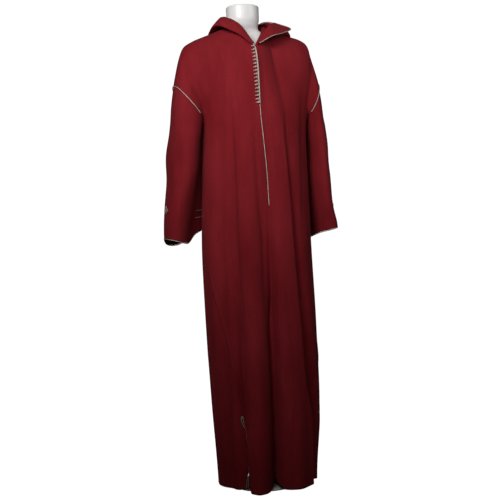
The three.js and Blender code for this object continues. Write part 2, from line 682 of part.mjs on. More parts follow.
/** Outside of the front at a height, beside its centre line by so many millimetres. */
function frontLine(z, aside) {
  if (z <= UNDERARM_Z) {
    const bearing = read(SEAM_BEARINGS, 'z', 'front', z) + aside / (FRONT_RADIUS * DEG);
    return { point: skirtPoint(bearing, z), normal: skirtNormal(bearing, z) };
  }
  let low = 0;
  let high = 1;
  for (let k = 0; k < 24; k += 1) {
    const v = (low + high) / 2;
    if (yokePoint('front', 0.5, v).z < z) low = v;
    else high = v;
  }
  const v = (low + high) / 2;
  const width = yokePoint('front', 0.52, v).distanceTo(yokePoint('front', 0.48, v)) / 0.04;
  const u = 0.5 + aside / width;
  const normal = normalOf((s, t) => yokePoint('front', s, t), u, clamp(v, 0.02, 0.98), 0.01, 0.02);
  return { point: yokePoint('front', u, v), normal };
}

// ---------------------------------------------------------------- assembly

const kaftan = new THREE.Group();

function add(name, geometry, finish) {
  const mesh = new THREE.Mesh(geometry, new THREE.MeshStandardMaterial(finish));
  mesh.name = name;
  kaftan.add(mesh);
  return mesh;
}

const spread = (count) => Array.from({ length: count + 1 }, (_, i) => i / count);

/** Front panel, slit from the neck down to the last knot. */
function buildFront() {
  const split = (u) => (u === 0.5 ? [u - FRONT_SLIT, u + FRONT_SLIT] : [u]);
  const columns = spread(FRONT_COLUMNS).flatMap(split);
  const { grid, normals } = panelGrid('front', columns);
  const middle = FRONT_COLUMNS / 2;
  const open = (i, j) => j === middle && grid[i][middle].z > KNOTS_BOTTOM_Z - OPENING_FOOT;
  add('front', wallGeometry(grid, insideOf(grid, normals, CLOTH), { skip: open }), RED_CLOTH);
}

function buildBack() {
  const { grid, normals } = panelGrid('back', spread(BACK_COLUMNS));
  add('back', wallGeometry(grid, insideOf(grid, normals, CLOTH)), RED_CLOTH);
}

/** Height of a cuff's edge round the arm. */
const cuffZ = (side, turn) => read(CUFF_EDGE[side], 'turn', 'z', turn);

/** How far down a sleeve's sloping edge moves to open a gap of that width square to it. */
function dropFor(side, turn, edgeZ, gap) {
  const before = sleevePoint(side, turn - 4, edgeZ(turn - 4));
  const run = sleevePoint(side, turn + 4, edgeZ(turn + 4)).sub(before);
  return gap / Math.max(Math.hypot(run.x, run.y) / run.length(), 0.25);
}

function buildSleeve(side) {
  const out = side === 'right' ? -1 : 1;
  const grid = [];
  const normals = [];
  for (let i = 0; i <= SLEEVE_ROWS; i += 1) {
    const row = [];
    const rowNormals = [];
    for (let j = 0; j < SLEEVE_COLUMNS; j += 1) {
      const turn = (360 * j) / SLEEVE_COLUMNS;
      const round = turn > 180 ? turn - 360 : turn;
      const t = (i / SLEEVE_ROWS) ** ROW_GROWTH;
      const drop = dropFor(side, turn, (at) => armholeZ(side, at), SLEEVE_CLEAR);
      const top = armholeZ(side, turn) - drop;
      const z = lerp(top, cuffZ(side, turn), t);
      const aside = i === 0 ? out * underarm(round) * SLEEVE_CLEAR * UNDERARM_CLEAR : 0;
      row.push(sleevePoint(side, turn, z).add(vec(aside, 0, 0)));
      rowNormals.push(i === 0 ? armholeNormal(side, round) : sleeveNormal(side, turn, z));
    }
    grid.push(row);
    normals.push(rowNormals);
  }
  add(`sleeve_${side}`, wallGeometry(grid, insideOf(grid, normals, CLOTH), { round: true }), RED_CLOTH);
}

/** Point of the hood: u runs round the neck, v from the seam to the open edge. */
function hoodPoint(u, v) {
  const across = HOOD_LINES.map((line, k) => ({
    v: k / (HOOD_LINES.length - 1),
    x: read(line, 'u', 'x', u),
    y: read(line, 'u', 'y', u),
    z: read(line, 'u', 'z', u),
  }));
  return vec(read(across, 'v', 'x', v), read(across, 'v', 'y', v), read(across, 'v', 'z', v));
}

/** The hood, and the cord along its open edge, a little way out from the middle of the wall. */
function buildHood() {
  const grid = spread(HOOD_ROWS).map((v) => spread(HOOD_COLUMNS).map((u) => hoodPoint(u, v)));
  const normals = gridNormals(grid);
  add('hood', wallGeometry(grid, insideOf(grid, normals, -CLOTH)), RED_CLOTH);
  const edge = grid[HOOD_ROWS];
  const path = edge.map((p, j) => {
    const along = edge[Math.min(j + 1, HOOD_COLUMNS)].clone().sub(edge[Math.max(j - 1, 0)]).normalize();
    const beyond = p.clone().sub(grid[HOOD_ROWS - 1][j]);
    beyond.addScaledVector(along, -beyond.dot(along));
    beyond.addScaledVector(normals[HOOD_ROWS][j], -beyond.dot(normals[HOOD_ROWS][j])).normalize();
    const middle = p.clone().addScaledVector(normals[HOOD_ROWS][j], CLOTH / 2);
    return middle.addScaledVector(beyond, CORD_RADIUS + BRAID_LIFT);
  });
  add('hood_cord', cordGeometry(path, CORD_RADIUS), CORD_SILVER);
}

/** Flat braid down the front opening, and the knots beside it. */
function buildPlacket() {
  const edges = spread(TRIM_ROWS).map((s) => {
    const z = lerp(KNOTS_BOTTOM_Z - BRAID_FOOT, KNOTS_TOP_Z, s);
    return [-1, 1].map((side) => frontLine(z, (side * BRAID_WIDTH) / 2));
  });
  const raised = ({ point, normal }, by) => point.clone().addScaledVector(normal, by);
  const lifted = (by) => edges.map((edge) => edge.map((place) => raised(place, by)));
  const inner = lifted(BRAID_LIFT);
  const outer = lifted(BRAID_LIFT + BRAID_THICK);
  add('placket_braid', wallGeometry(outer, inner), CORD_SILVER);
  for (let k = 0; k < KNOTS; k += 1) {
    const z = lerp(KNOTS_TOP_Z - FIRST_KNOT_DROP, KNOTS_BOTTOM_Z, k / (KNOTS - 1));
    const { point, normal } = frontLine(z, -BRAID_WIDTH / 2 - KNOT_RADIUS - TRIM_LIFT);
    const number = String(k + 1).padStart(2, '0');
    const ball = new THREE.SphereGeometry(KNOT_RADIUS, KNOT_FACETS.round, KNOT_FACETS.tall);
    const knot = add(`knot_${number}`, ball, CORD_SILVER);
    knot.position.copy(point).addScaledVector(normal, KNOT_RADIUS + TRIM_LIFT);
  }
}

/** Thin cord over the front seam, from the last knot down. */
function buildFrontCord() {
  const path = spread(TRIM_ROWS).map((s) => {
    const { point, normal } = frontLine(lerp(KNOTS_BOTTOM_Z - FRONT_CORD_DROP, FRONT_CORD_BOTTOM_Z, s), 0);
    return point.addScaledVector(normal, CORD_RADIUS + BRAID_LIFT);
  });
  add('front_cord', cordGeometry(path, CORD_RADIUS), CORD_SILVER);
}

/** Cord over an armhole seam, bare only under the arm. */
function buildArmholeCord(side) {
  const path = spread(ARMHOLE_CORD_STEPS).map((s) => {
    const turn = lerp(-ARMHOLE_CORD_REACH, ARMHOLE_CORD_REACH, s);
    const out = armholeNormal(side, turn);
    return armholePoint(side, turn).addScaledVector(out, CORD_RADIUS + BRAID_LIFT);
  });
  add(`armhole_cord_${side}`, cordGeometry(path, CORD_RADIUS), CORD_SILVER);
}

/** Cord round the edge of a cuff. */
function buildCuffCord(side) {
  const count = SLEEVE_COLUMNS;
  const path = spread(count).slice(0, count).map((s) => {
    const turn = 360 * s;
    const z = cuffZ(side, turn);
    const middle = sleevePoint(side, turn, z).addScaledVector(sleeveNormal(side, turn, z), -CLOTH / 2);
    const clear = CORD_RADIUS + SLEEVE_CLEAR;
    return middle.add(vec(0, 0, -dropFor(side, turn, (t) => cuffZ(side, (t + 360) % 360), clear)));
  });
  add(`cuff_cord_${side}`, cordGeometry(path, CORD_RADIUS, { ring: true }), CORD_SILVER);
}

/** Triangle of thin braid on the outside of a sleeve, above the cuff. */
function buildMotif(side) {
  const lift = MOTIF_RADIUS + MOTIF_LIFT;
  const place = (turn, z) => sleevePoint(side, turn, z).addScaledVector(sleeveNormal(side, turn, z), lift);
  const corners = MOTIF_CORNERS.map(({ turn, drop }) => ({ turn, z: MOTIF_TOP_Z - drop * MOTIF_SIZE }));
  const path = corners.flatMap((corner, k) => {
    const next = corners[(k + 1) % corners.length];
    return [0, 0.25, 0.5, 0.75].map((s) => place(lerp(corner.turn, next.turn, s), lerp(corner.z, next.z, s)));
  });
  add(`cuff_motif_${side}`, cordGeometry(path, MOTIF_RADIUS, { ring: true }), CORD_SILVER);
}

/** Two short bars of braid across the back of a sleeve, near the cuff. */
function buildSleeveBars(side) {
  BAR_HEIGHTS.forEach((low, k) => {
    const path = spread(BAR_STEPS).map((s) => {
      const turn = lerp(BAR_TURNS.from, BAR_TURNS.to, s);
      const z = low + BAR_RISE * s;
      const lift = BAR_RADIUS + BAR_LIFT[side];
      return sleevePoint(side, turn, z).addScaledVector(sleeveNormal(side, turn, z), lift);
    });
    add(`sleeve_bar_${side}_${k + 1}`, cordGeometry(path, BAR_RADIUS), CORD_SILVER);
  });
}

/** Cord up one edge of a side slit, round its top and down the other edge. */
function buildSlitCord(side) {
  const column = side === 'right' ? 0 : 1;
  const place = (bearing, z) =>
    skirtPoint(bearing, z).addScaledVector(skirtNormal(bearing, z), CORD_RADIUS + TRIM_LIFT);
  const edge = (name, z) => place(panelBearing(name, column, z), z);
  const foot = HEM_Z + SLIT_CORD_FOOT;
  const heights = spread(SLIT_CORD_STEPS).map((s) => lerp(foot, SLIT_TOP_Z - SLIT_ROUND + 1, s));
  const path = heights.map((z) => edge('back', z));
  path.push(place(read(SEAM_BEARINGS, 'z', side, SLIT_TOP_Z), SLIT_TOP_Z));
  path.push(...heights.reverse().map((z) => edge('front', z)));
  add(`slit_cord_${side}`, cordGeometry(path, CORD_RADIUS), CORD_SILVER);
}

/** The dress form: a smooth torso with a neck, a pole and a round base. */
function buildForm() {
  const around = FORM_COLUMNS;
  const { a: neckA, b: neckB, z: neckZ } = FORM_SECTIONS[FORM_SECTIONS.length - 1];
  const cap = { z: neckZ + NECK_TOP_CHAMFER, a: neckA - NECK_TOP_CHAMFER, b: neckB - NECK_TOP_CHAMFER };
  const rings = [...FORM_SECTIONS, cap].map(({ z, a, b }) =>
    spread(around).slice(0, around).map((s) => {
      const turn = 2 * Math.PI * s;
      return vec(FORM_CENTRE.x + a * Math.cos(turn), FORM_CENTRE.y + b * Math.sin(turn), z);
    }),
  );
  const points = rings.flat();
  const faces = [];
  for (let i = 0; i < rings.length - 1; i += 1) {
    for (let j = 0; j < around; j += 1) {
      const a = i * around + j;
      const b = i * around + ((j + 1) % around);
      faces.push([a, b, b + around], [a, b + around, a + around]);
    }
  }
  const top = (rings.length - 1) * around;
  for (let j = 1; j < around - 1; j += 1) faces.push([0, j + 1, j], [top, top + j, top + j + 1]);
  add('form_torso', closedGeometry(points, faces), FORM_WHITE);

  const poleTop = FORM_SECTIONS[0].z - SEAM_GAP;
  const poleBottom = BASE_HEIGHT + SEAM_GAP;
  const poleShape = new THREE.CylinderGeometry(POLE_RADIUS, POLE_RADIUS, poleTop - poleBottom, POLE_SIDES);
  const pole = add('form_pole', poleShape, FORM_WHITE);
  pole.rotation.x = Math.PI / 2;
  pole.position.set(0, 0, (poleTop + poleBottom) / 2);

  const profile = [
    new THREE.Vector2(0, 0),
    new THREE.Vector2(BASE_RADIUS, 0),
    new THREE.Vector2(BASE_RADIUS, BASE_HEIGHT - BASE_CHAMFER),
    new THREE.Vector2(BASE_RADIUS - BASE_CHAMFER, BASE_HEIGHT),
    new THREE.Vector2(0, BASE_HEIGHT),
  ];
  const base = add('form_base', new THREE.LatheGeometry(profile, BASE_SIDES), FORM_WHITE);
  base.rotation.x = Math.PI / 2;
}

buildFront();
buildBack();
for (const side of ['right', 'left']) {
  buildSleeve(side);
  buildArmholeCord(side);
  buildCuffCord(side);
  buildMotif(side);
  buildSleeveBars(side);
  buildSlitCord(side);
}
buildHood();
buildPlacket();
buildFrontCord();
buildForm();

export default kaftan;
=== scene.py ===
"""Looks of a long hooded kaftan on a limbless dress form.

Lengths are millimetres in the garment's own frame: +Z is up, the front faces -Y and the
wearer's right is at -X. They become metres only where a mesh is made.
"""

import logging
import math
from dataclasses import dataclass, field
from enum import Enum
from typing import Callable, Sequence

import bpy
import numpy as np
from mathutils import Matrix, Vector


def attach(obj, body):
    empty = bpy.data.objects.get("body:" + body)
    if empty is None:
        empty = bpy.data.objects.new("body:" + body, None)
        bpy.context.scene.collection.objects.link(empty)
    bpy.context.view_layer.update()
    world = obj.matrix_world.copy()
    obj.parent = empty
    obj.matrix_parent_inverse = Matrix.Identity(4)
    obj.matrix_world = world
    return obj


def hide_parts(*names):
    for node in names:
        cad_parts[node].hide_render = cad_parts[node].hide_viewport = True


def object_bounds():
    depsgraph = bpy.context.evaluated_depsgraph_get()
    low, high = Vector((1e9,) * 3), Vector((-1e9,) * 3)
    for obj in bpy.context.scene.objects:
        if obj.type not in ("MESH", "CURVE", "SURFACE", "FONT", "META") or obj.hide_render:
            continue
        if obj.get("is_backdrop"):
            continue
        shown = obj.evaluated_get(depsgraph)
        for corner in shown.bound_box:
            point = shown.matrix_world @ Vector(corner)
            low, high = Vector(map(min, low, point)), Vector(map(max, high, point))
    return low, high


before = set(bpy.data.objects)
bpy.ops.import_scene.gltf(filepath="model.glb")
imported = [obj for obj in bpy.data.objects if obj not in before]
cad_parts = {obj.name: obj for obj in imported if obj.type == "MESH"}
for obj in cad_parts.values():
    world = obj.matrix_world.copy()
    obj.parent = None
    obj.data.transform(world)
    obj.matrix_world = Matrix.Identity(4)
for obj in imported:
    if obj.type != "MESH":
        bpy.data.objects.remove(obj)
CAD_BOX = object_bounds()

log = logging.getLogger("kaftan")

MM = 0.001
HEM_Z = 12.0
SLIT_TOP_Z = 243.0
SLIT_ROWS = 46
SEAM_GAP = 0.3
UNDERARM_Z = 1165.0
KNOTS = 17
KNOTS_TOP_Z = 1380.0
KNOTS_BOTTOM_Z = 1203.0
FRONT_CORD_BOTTOM_Z = 885.0
CLOTH = 1.4
SLEEVE_AREAS = (0.19, 0.155)  # flat, in square metres, right and left
OPENING_FOOT = 8.0  # the front opening ends this far below the last knot
BRAID_END = 2.0  # the braid goes this far beyond the first and the last knot
FIRST_KNOT_DROP = 4.0
FRONT_CORD_DROP = 5.0  # the front cord starts this far below the last knot
CREASE_FADE = 60.0  # a crease fades out over this much beyond its ends
WAVE_PERIOD = 0.314  # metres between the bands of a wave texture whose scale is 1

Grid = np.ndarray
Socket = bpy.types.NodeSocket
Colour = tuple[float, float, float]


class Side(Enum):
    """A side of the wearer, with the sign of its x."""

    RIGHT = -1
    LEFT = 1

    @property
    def word(self) -> str:
        """Name of the side as the nodes have it."""
        return self.name.lower()


class PanelKind(Enum):
    """The two body panels, with 1 for the front and -1 for the back."""

    FRONT = 1
    BACK = -1

    @property
    def word(self) -> str:
        """Name of the panel as the nodes have it."""
        return self.name.lower()


# ---------------------------------------------------------------- curves and tables


class Table:
    """Named columns against a key, read on smooth curves through their rows."""

    def __init__(self, key: Sequence[float], **columns: Sequence[float]) -> None:
        """Keeps the rows.

        Args:
            key: Rising values that the columns belong to.
            **columns: One value of each column for each row.
        """
        self.key = np.asarray(key, float)
        self.columns = {name: np.asarray(rows, float) for name, rows in columns.items()}

    def read(self, column: str, at: Grid | float) -> Grid:
        """Value of a column, by a cubic through each two rows.

        With s from 0 to 1 between two rows p and q, and slopes m and n there, it is
        (1-s)^2 ((1+2s) p + s m) + s^2 ((3-2s) q + (s-1) n).

        Args:
            column: Name of the column.
            at: Places along the key.

        Returns:
            The values, in the shape of at.
        """
        key = self.key
        value = self.columns[column]
        place = np.clip(np.asarray(at, float), key[0], key[-1])
        low = np.maximum(np.arange(len(key)) - 1, 0)
        high = np.minimum(np.arange(len(key)) + 1, len(key) - 1)
        slope = (value[high] - value[low]) / (key[high] - key[low])
        k = np.searchsorted(key[1:-1], place, side="left")
        span = key[k + 1] - key[k]
        s = (place - key[k]) / span
        start = (1 - s) ** 2 * ((1 + 2 * s) * value[k] + s * span * slope[k])
        end = s * s * ((3 - 2 * s) * value[k + 1] + (s - 1) * span * slope[k + 1])
        return start + end


def smooth(x: Grid | float, start: float, end: float) -> Grid:
    """3t^2 - 2t^3, where t goes from 0 at start to 1 at end."""
    t = np.clip((np.asarray(x, float) - start) / (end - start), 0, 1)
    return t * t * (3 - 2 * t)


def bell(x: Grid, middle: float | Grid, width: float | Grid) -> Grid:
    """exp(-((x - middle) / width)^2)."""
    return np.exp(-(((x - middle) / width) ** 2))


def turned(bearing: Grid, origin: Grid | float) -> Grid:
    """How far round a bearing is from an origin, from -180 to 180 degrees."""
    return (bearing - origin + 540) % 360 - 180


def uneven(x: Grid, y: Grid, seed: float) -> Grid:
    """Slow waves between about -1 and 1: four sines that cross at odd angles."""
    return (
        np.sin(x * 1.0 + y * 0.31 + seed)
        + 0.7 * np.sin(x * 0.47 - y * 1.13 + 2.1 * seed)
        + 0.5 * np.sin(x * 1.9 + y * 0.83 + 3.7 * seed)
        + 0.3 * np.sin(-x * 2.7 + y * 2.3 + 5.3 * seed)
    ) / 2.5


def lengths(points: Grid) -> Grid:
    """Length along a path at each of its points, from 0."""
    return np.concatenate([[0.0], np.cumsum(np.linalg.norm(np.diff(points, axis=0), axis=1))])


def read_along(places: Grid, along: Grid, values: Grid) -> Grid:
    """Values, three to a point, read straight between the lengths at which they are given."""
    return np.stack([np.interp(places, along, values[:, k]) for k in range(3)], -1)


class Curve:
    """A centripetal Catmull-Rom curve through points, read by its share of length."""

    SAMPLES = 400

    def __init__(self, points: Sequence[Sequence[float]]) -> None:
        """Samples the curve.

        Between points p1 and p2 it is a cubic whose slopes come from p0 and p3, with
        knots that lie the square root of the distance apart.

        Args:
            points: The points it goes through.
        """
        p = np.asarray(points, float)
        p = np.vstack([2 * p[0] - p[1], p, 2 * p[-1] - p[-2]])
        knots = np.sqrt(np.linalg.norm(np.diff(p, axis=0), axis=1))[:, None]
        t = np.linspace(0, len(points) - 1, self.SAMPLES)
        k = np.minimum(t.astype(int), len(points) - 2)
        w = (t - k)[:, None]
        p0, p1, p2, p3 = p[k], p[k + 1], p[k + 2], p[k + 3]
        a, b, c = knots[k], knots[k + 1], knots[k + 2]
        m = ((p1 - p0) / a - (p2 - p0) / (a + b) + (p2 - p1) / b) * b
        n = ((p2 - p1) / b - (p3 - p1) / (b + c) + (p3 - p2) / c) * b
        cubic = (2 * p1 - 2 * p2 + m + n) * w**3 + (3 * p2 - 3 * p1 - 2 * m - n) * w**2
        self.points = cubic + m * w + p1
        self.length = lengths(self.points)

    def at(self, share: Grid | float) -> Grid:
        """Points at shares of the curve's length.

        Args:
            share: Values from 0 to 1.

        Returns:
            One point for each share, in the last axis.
        """
        along = np.clip(np.asarray(share, float), 0, 1) * self.length[-1]
        return read_along(along, self.length, self.points)


def unit(v: Grid) -> Grid:
    """v / |v|, along the last axis."""
    return v / (np.linalg.norm(v, axis=-1, keepdims=True) + 1e-9)


def grid_normals(points: Grid, wrap: bool = False) -> Grid:
    """Normals of a grid: the step along a row crossed with the step up a column.

    Args:
        points: Rows by columns by 3.
        wrap: Whether the last column is next to the first.

    Returns:
        Unit normals, in the shape of points.
    """
    if wrap:
        along = np.roll(points, -1, axis=1) - np.roll(points, 1, axis=1)
    else:
        along = np.gradient(points, axis=1)
    return unit(np.cross(along, np.gradient(points, axis=0)))


def between_points(grid: Grid, row: Grid, column: Grid) -> Grid:
    """Values of a grid between its points: (1-s)((1-t) a + t b) + s((1-t) c + t d).

    Args:
        grid: Rows by columns by 3.
        row: Rows with their fractions s.
        column: Columns with their fractions t.

    Returns:
        One value for each row and column.
    """
    i = np.minimum(row.astype(int), grid.shape[0] - 2)
    j = np.minimum(column.astype(int), grid.shape[1] - 2)
    s, t = (row - i)[:, None], (column - j)[:, None]
    low = (1 - t) * grid[i, j] + t * grid[i, j + 1]
    high = (1 - t) * grid[i + 1, j] + t * grid[i + 1, j + 1]
    return (1 - s) * low + s * high


# ---------------------------------------------------------------- meshes


@dataclass
class Shape:
    """Vertices in millimetres, faces, and a place on the cloth for each vertex."""

    points: Grid
    faces: list[tuple[int, ...]]
    places: Grid | None = None

    def joined(self, other: "Shape") -> "Shape":
        """This shape and another one as a single shape.

        Args:
            other: The shape to add.

        Returns:
            A new shape, without places on the cloth.
        """
        shift = len(self.points)
        moved = [tuple(i + shift for i in face) for face in other.faces]
        return Shape(np.vstack([self.points, other.points]), self.faces + moved)

    def build(self, name: str, finish: "Finish", nodes: Sequence[str]) -> bpy.types.Object:
        """Makes the object, dresses it and lets it stand for its nodes.

        Args:
            name: Name of the object.
            finish: What it is made of.
            nodes: Nodes of the frame that it stands for.

        Returns:
            The new object, at the origin, riding on the only body.
        """
        mesh = bpy.data.meshes.new(name)
        mesh.from_pydata((self.points * MM).tolist(), [], self.faces)
        if self.places is not None:
            layer = mesh.uv_layers.new(name="cloth")
            corner = np.empty(len(mesh.loops), dtype=np.int64)
            mesh.loops.foreach_get("vertex_index", corner)
            layer.data.foreach_set("uv", (self.places[corner] * MM).astype(np.float32).ravel())
        mesh.validate()
        mesh.polygons.foreach_set("use_smooth", np.ones(len(mesh.polygons), dtype=bool))
        mesh.materials.append(finish.material())
        mesh.update()
        piece = bpy.data.objects.new(name, mesh)
        bpy.context.scene.collection.objects.link(piece)
        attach(piece, "root")
        if nodes:
            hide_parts(*nodes)
        log.info("%s: %d faces", name, len(mesh.polygons))
        return piece


def quads(a: Grid, b: Grid, c: Grid, d: Grid) -> Grid:
    """Rows of four corners from four arrays of vertex numbers."""
    return np.stack([a, b, c, d], -1).reshape(-1, 4)


def wall(
    outer: Grid,
    thickness: float,
    normals: Grid,
    wrap: bool = False,
    open_cells: Grid | None = None,
) -> Shape:
    """A closed wall of cloth: outer points, and inner points one thickness further in.

    Args:
        outer: Rows by columns by 3. A step along a row crossed with one up a column
            points out of the cloth.
        thickness: How far in along its normal each inner point lies.
        normals: Unit normals of the outer points.
        wrap: Whether the last column joins the first.
        open_cells: True for the cells between rows and columns that are left out.

    Returns:
        The wall, with its length along and up the cloth as each vertex's place.
    """
    rows, columns = outer.shape[:2]
    cells = columns if wrap else columns - 1
    number = np.arange(rows * columns).reshape(rows, columns)
    right = np.roll(number, -1, axis=1) if wrap else number[:, 1:]
    left = number[:, :cells]
    keep = np.ones((rows - 1, cells), bool) if open_cells is None else ~open_cells
    half = rows * columns
    a, b = left[:-1], right[:-1]
    d, c = left[1:], right[1:]
    parts = [quads(a[keep], b[keep], c[keep], d[keep])]
    parts.append(quads(a[keep], d[keep], c[keep], b[keep]) + [half] * 4)
    below = np.vstack([np.zeros((1, cells), bool), keep[:-1]])
    above = np.vstack([keep[1:], np.zeros((1, cells), bool)])
    before = np.roll(keep, 1, axis=1)
    after = np.roll(keep, -1, axis=1)
    if not wrap:
        before[:, 0] = False
        after[:, -1] = False
    rims = [(below, b, a), (above, d, c), (before, a, d), (after, c, b)]
    for neighbour, start, end in rims:
        rim = keep & ~neighbour
        parts.append(quads(start[rim], end[rim], end[rim] + half, start[rim] + half))
    inner = outer - normals * thickness
    step_along = np.linalg.norm(np.diff(outer, axis=1), axis=2).mean(axis=0)
    step_up = np.linalg.norm(np.diff(outer, axis=0), axis=2).mean(axis=1)
    along = np.concatenate([[0], np.cumsum(step_along)])
    up = np.concatenate([[0], np.cumsum(step_up)])
    places = np.stack(np.meshgrid(along, up), -1).reshape(-1, 2)
    points = np.vstack([outer.reshape(-1, 3), inner.reshape(-1, 3)])
    used = np.unique(np.vstack(parts))
    renumber = np.full(len(points), -1)
    renumber[used] = np.arange(len(used))
    faces = [tuple(face) for face in renumber[np.vstack(parts)].tolist()]
    return Shape(points[used], faces, np.vstack([places, places])[used])


def ringed(rings: Grid, ends: Grid, backwards: bool = False) -> Shape:
    """A closed body of rings of points, with a fan of triangles to the middle of each end.

    Args:
        rings: Rings by points by 3.
        ends: Middles of the first ring and the last one.
        backwards: Whether the rings run clockwise as seen from the last one.

    Returns:
        The body, with its faces outwards.
    """
    count, sides = rings.shape[:2]
    number = np.arange(count * sides).reshape(count, sides)
    low, high = number[:-1], number[1:]
    first, last = number[0], number[-1]
    foot, head = np.full(sides, number.size), np.full(sides, number.size + 1)
    parts = [
        quads(low, np.roll(low, -1, axis=1), np.roll(high, -1, axis=1), high),
        np.stack([foot, np.roll(first, -1), first], -1),
        np.stack([head, last, np.roll(last, -1)], -1),
    ]
    if backwards:
        parts = [np.hstack([part[:, :1], part[:, :0:-1]]) for part in parts]
    faces = [tuple(face) for part in parts for face in part.tolist()]
    return Shape(np.vstack([rings.reshape(-1, 3), ends]), faces)


def tube(
    path: Grid,
    radius: Callable[[Grid, Grid], Grid],
    sides: int,
    ring: bool = False,
) -> Shape:
    """A tube along a path, with a radius worked out at each place.

    A point is path(s) + r(s, t) (cos t n + sin t m), where n and m stand square to the
    path and turn with it as little as they can.

    Args:
        path: Points by 3.
        radius: Radius from the length along the path and the turn round it.
        sides: Number of points round it.
        ring: Whether the end of the path joins its start.

    Returns:
        The closed tube.
    """
    count = len(path)
    if ring:
        run = unit(np.roll(path, -1, axis=0) - np.roll(path, 1, axis=0))
    else:
        run = unit(np.gradient(path, axis=0))
    across = np.empty_like(path)
    guess = np.array([0.0, 0.0, 1.0]) if abs(run[0, 2]) < 0.8 else np.array([0.0, -1.0, 0.0])
    for k in range(count):
        guess = unit(guess - run[k] * (guess @ run[k]))
        across[k] = guess
    along = lengths(path)[:, None]
    turn = np.linspace(0, 2 * math.pi, sides, endpoint=False)[None, :]
    r = radius(along, turn)[..., None]
    other = np.cross(run, across)
    spoke = np.cos(turn)[..., None] * across[:, None] + np.sin(turn)[..., None] * other[:, None]
    points = (path[:, None] + r * spoke).reshape(-1, 3)
    number = np.arange(count * sides).reshape(count, sides)
    after = np.roll(number, -1, axis=0) if ring else number[1:]
    here = number if ring else number[:-1]
    faces = quads(
        here, np.roll(here, -1, axis=1), np.roll(after, -1, axis=1), after
    ).tolist()
    shape = Shape(points, [tuple(face) for face in faces])
    if not ring:
        shape.faces.append(tuple(number[0][::-1].tolist()))
        shape.faces.append(tuple(number[-1].tolist()))
    return shape


def resampled(path: Grid, step: float, ring: bool = False) -> Grid:
    """Points at even steps along a path.

    Args:
        path: Points by 3.
        step: About how far apart the new points are.
        ring: Whether the end of the path joins its start.

    Returns:
        The new points.
    """
    points = np.vstack([path, path[:1]]) if ring else path
    along = lengths(points)
    count = max(int(along[-1] / step), 3)
    places = np.linspace(0, along[-1], count + 1)
    if ring:
        places = places[:-1]
    return read_along(places, along, points)


# ---------------------------------------------------------------- finishes


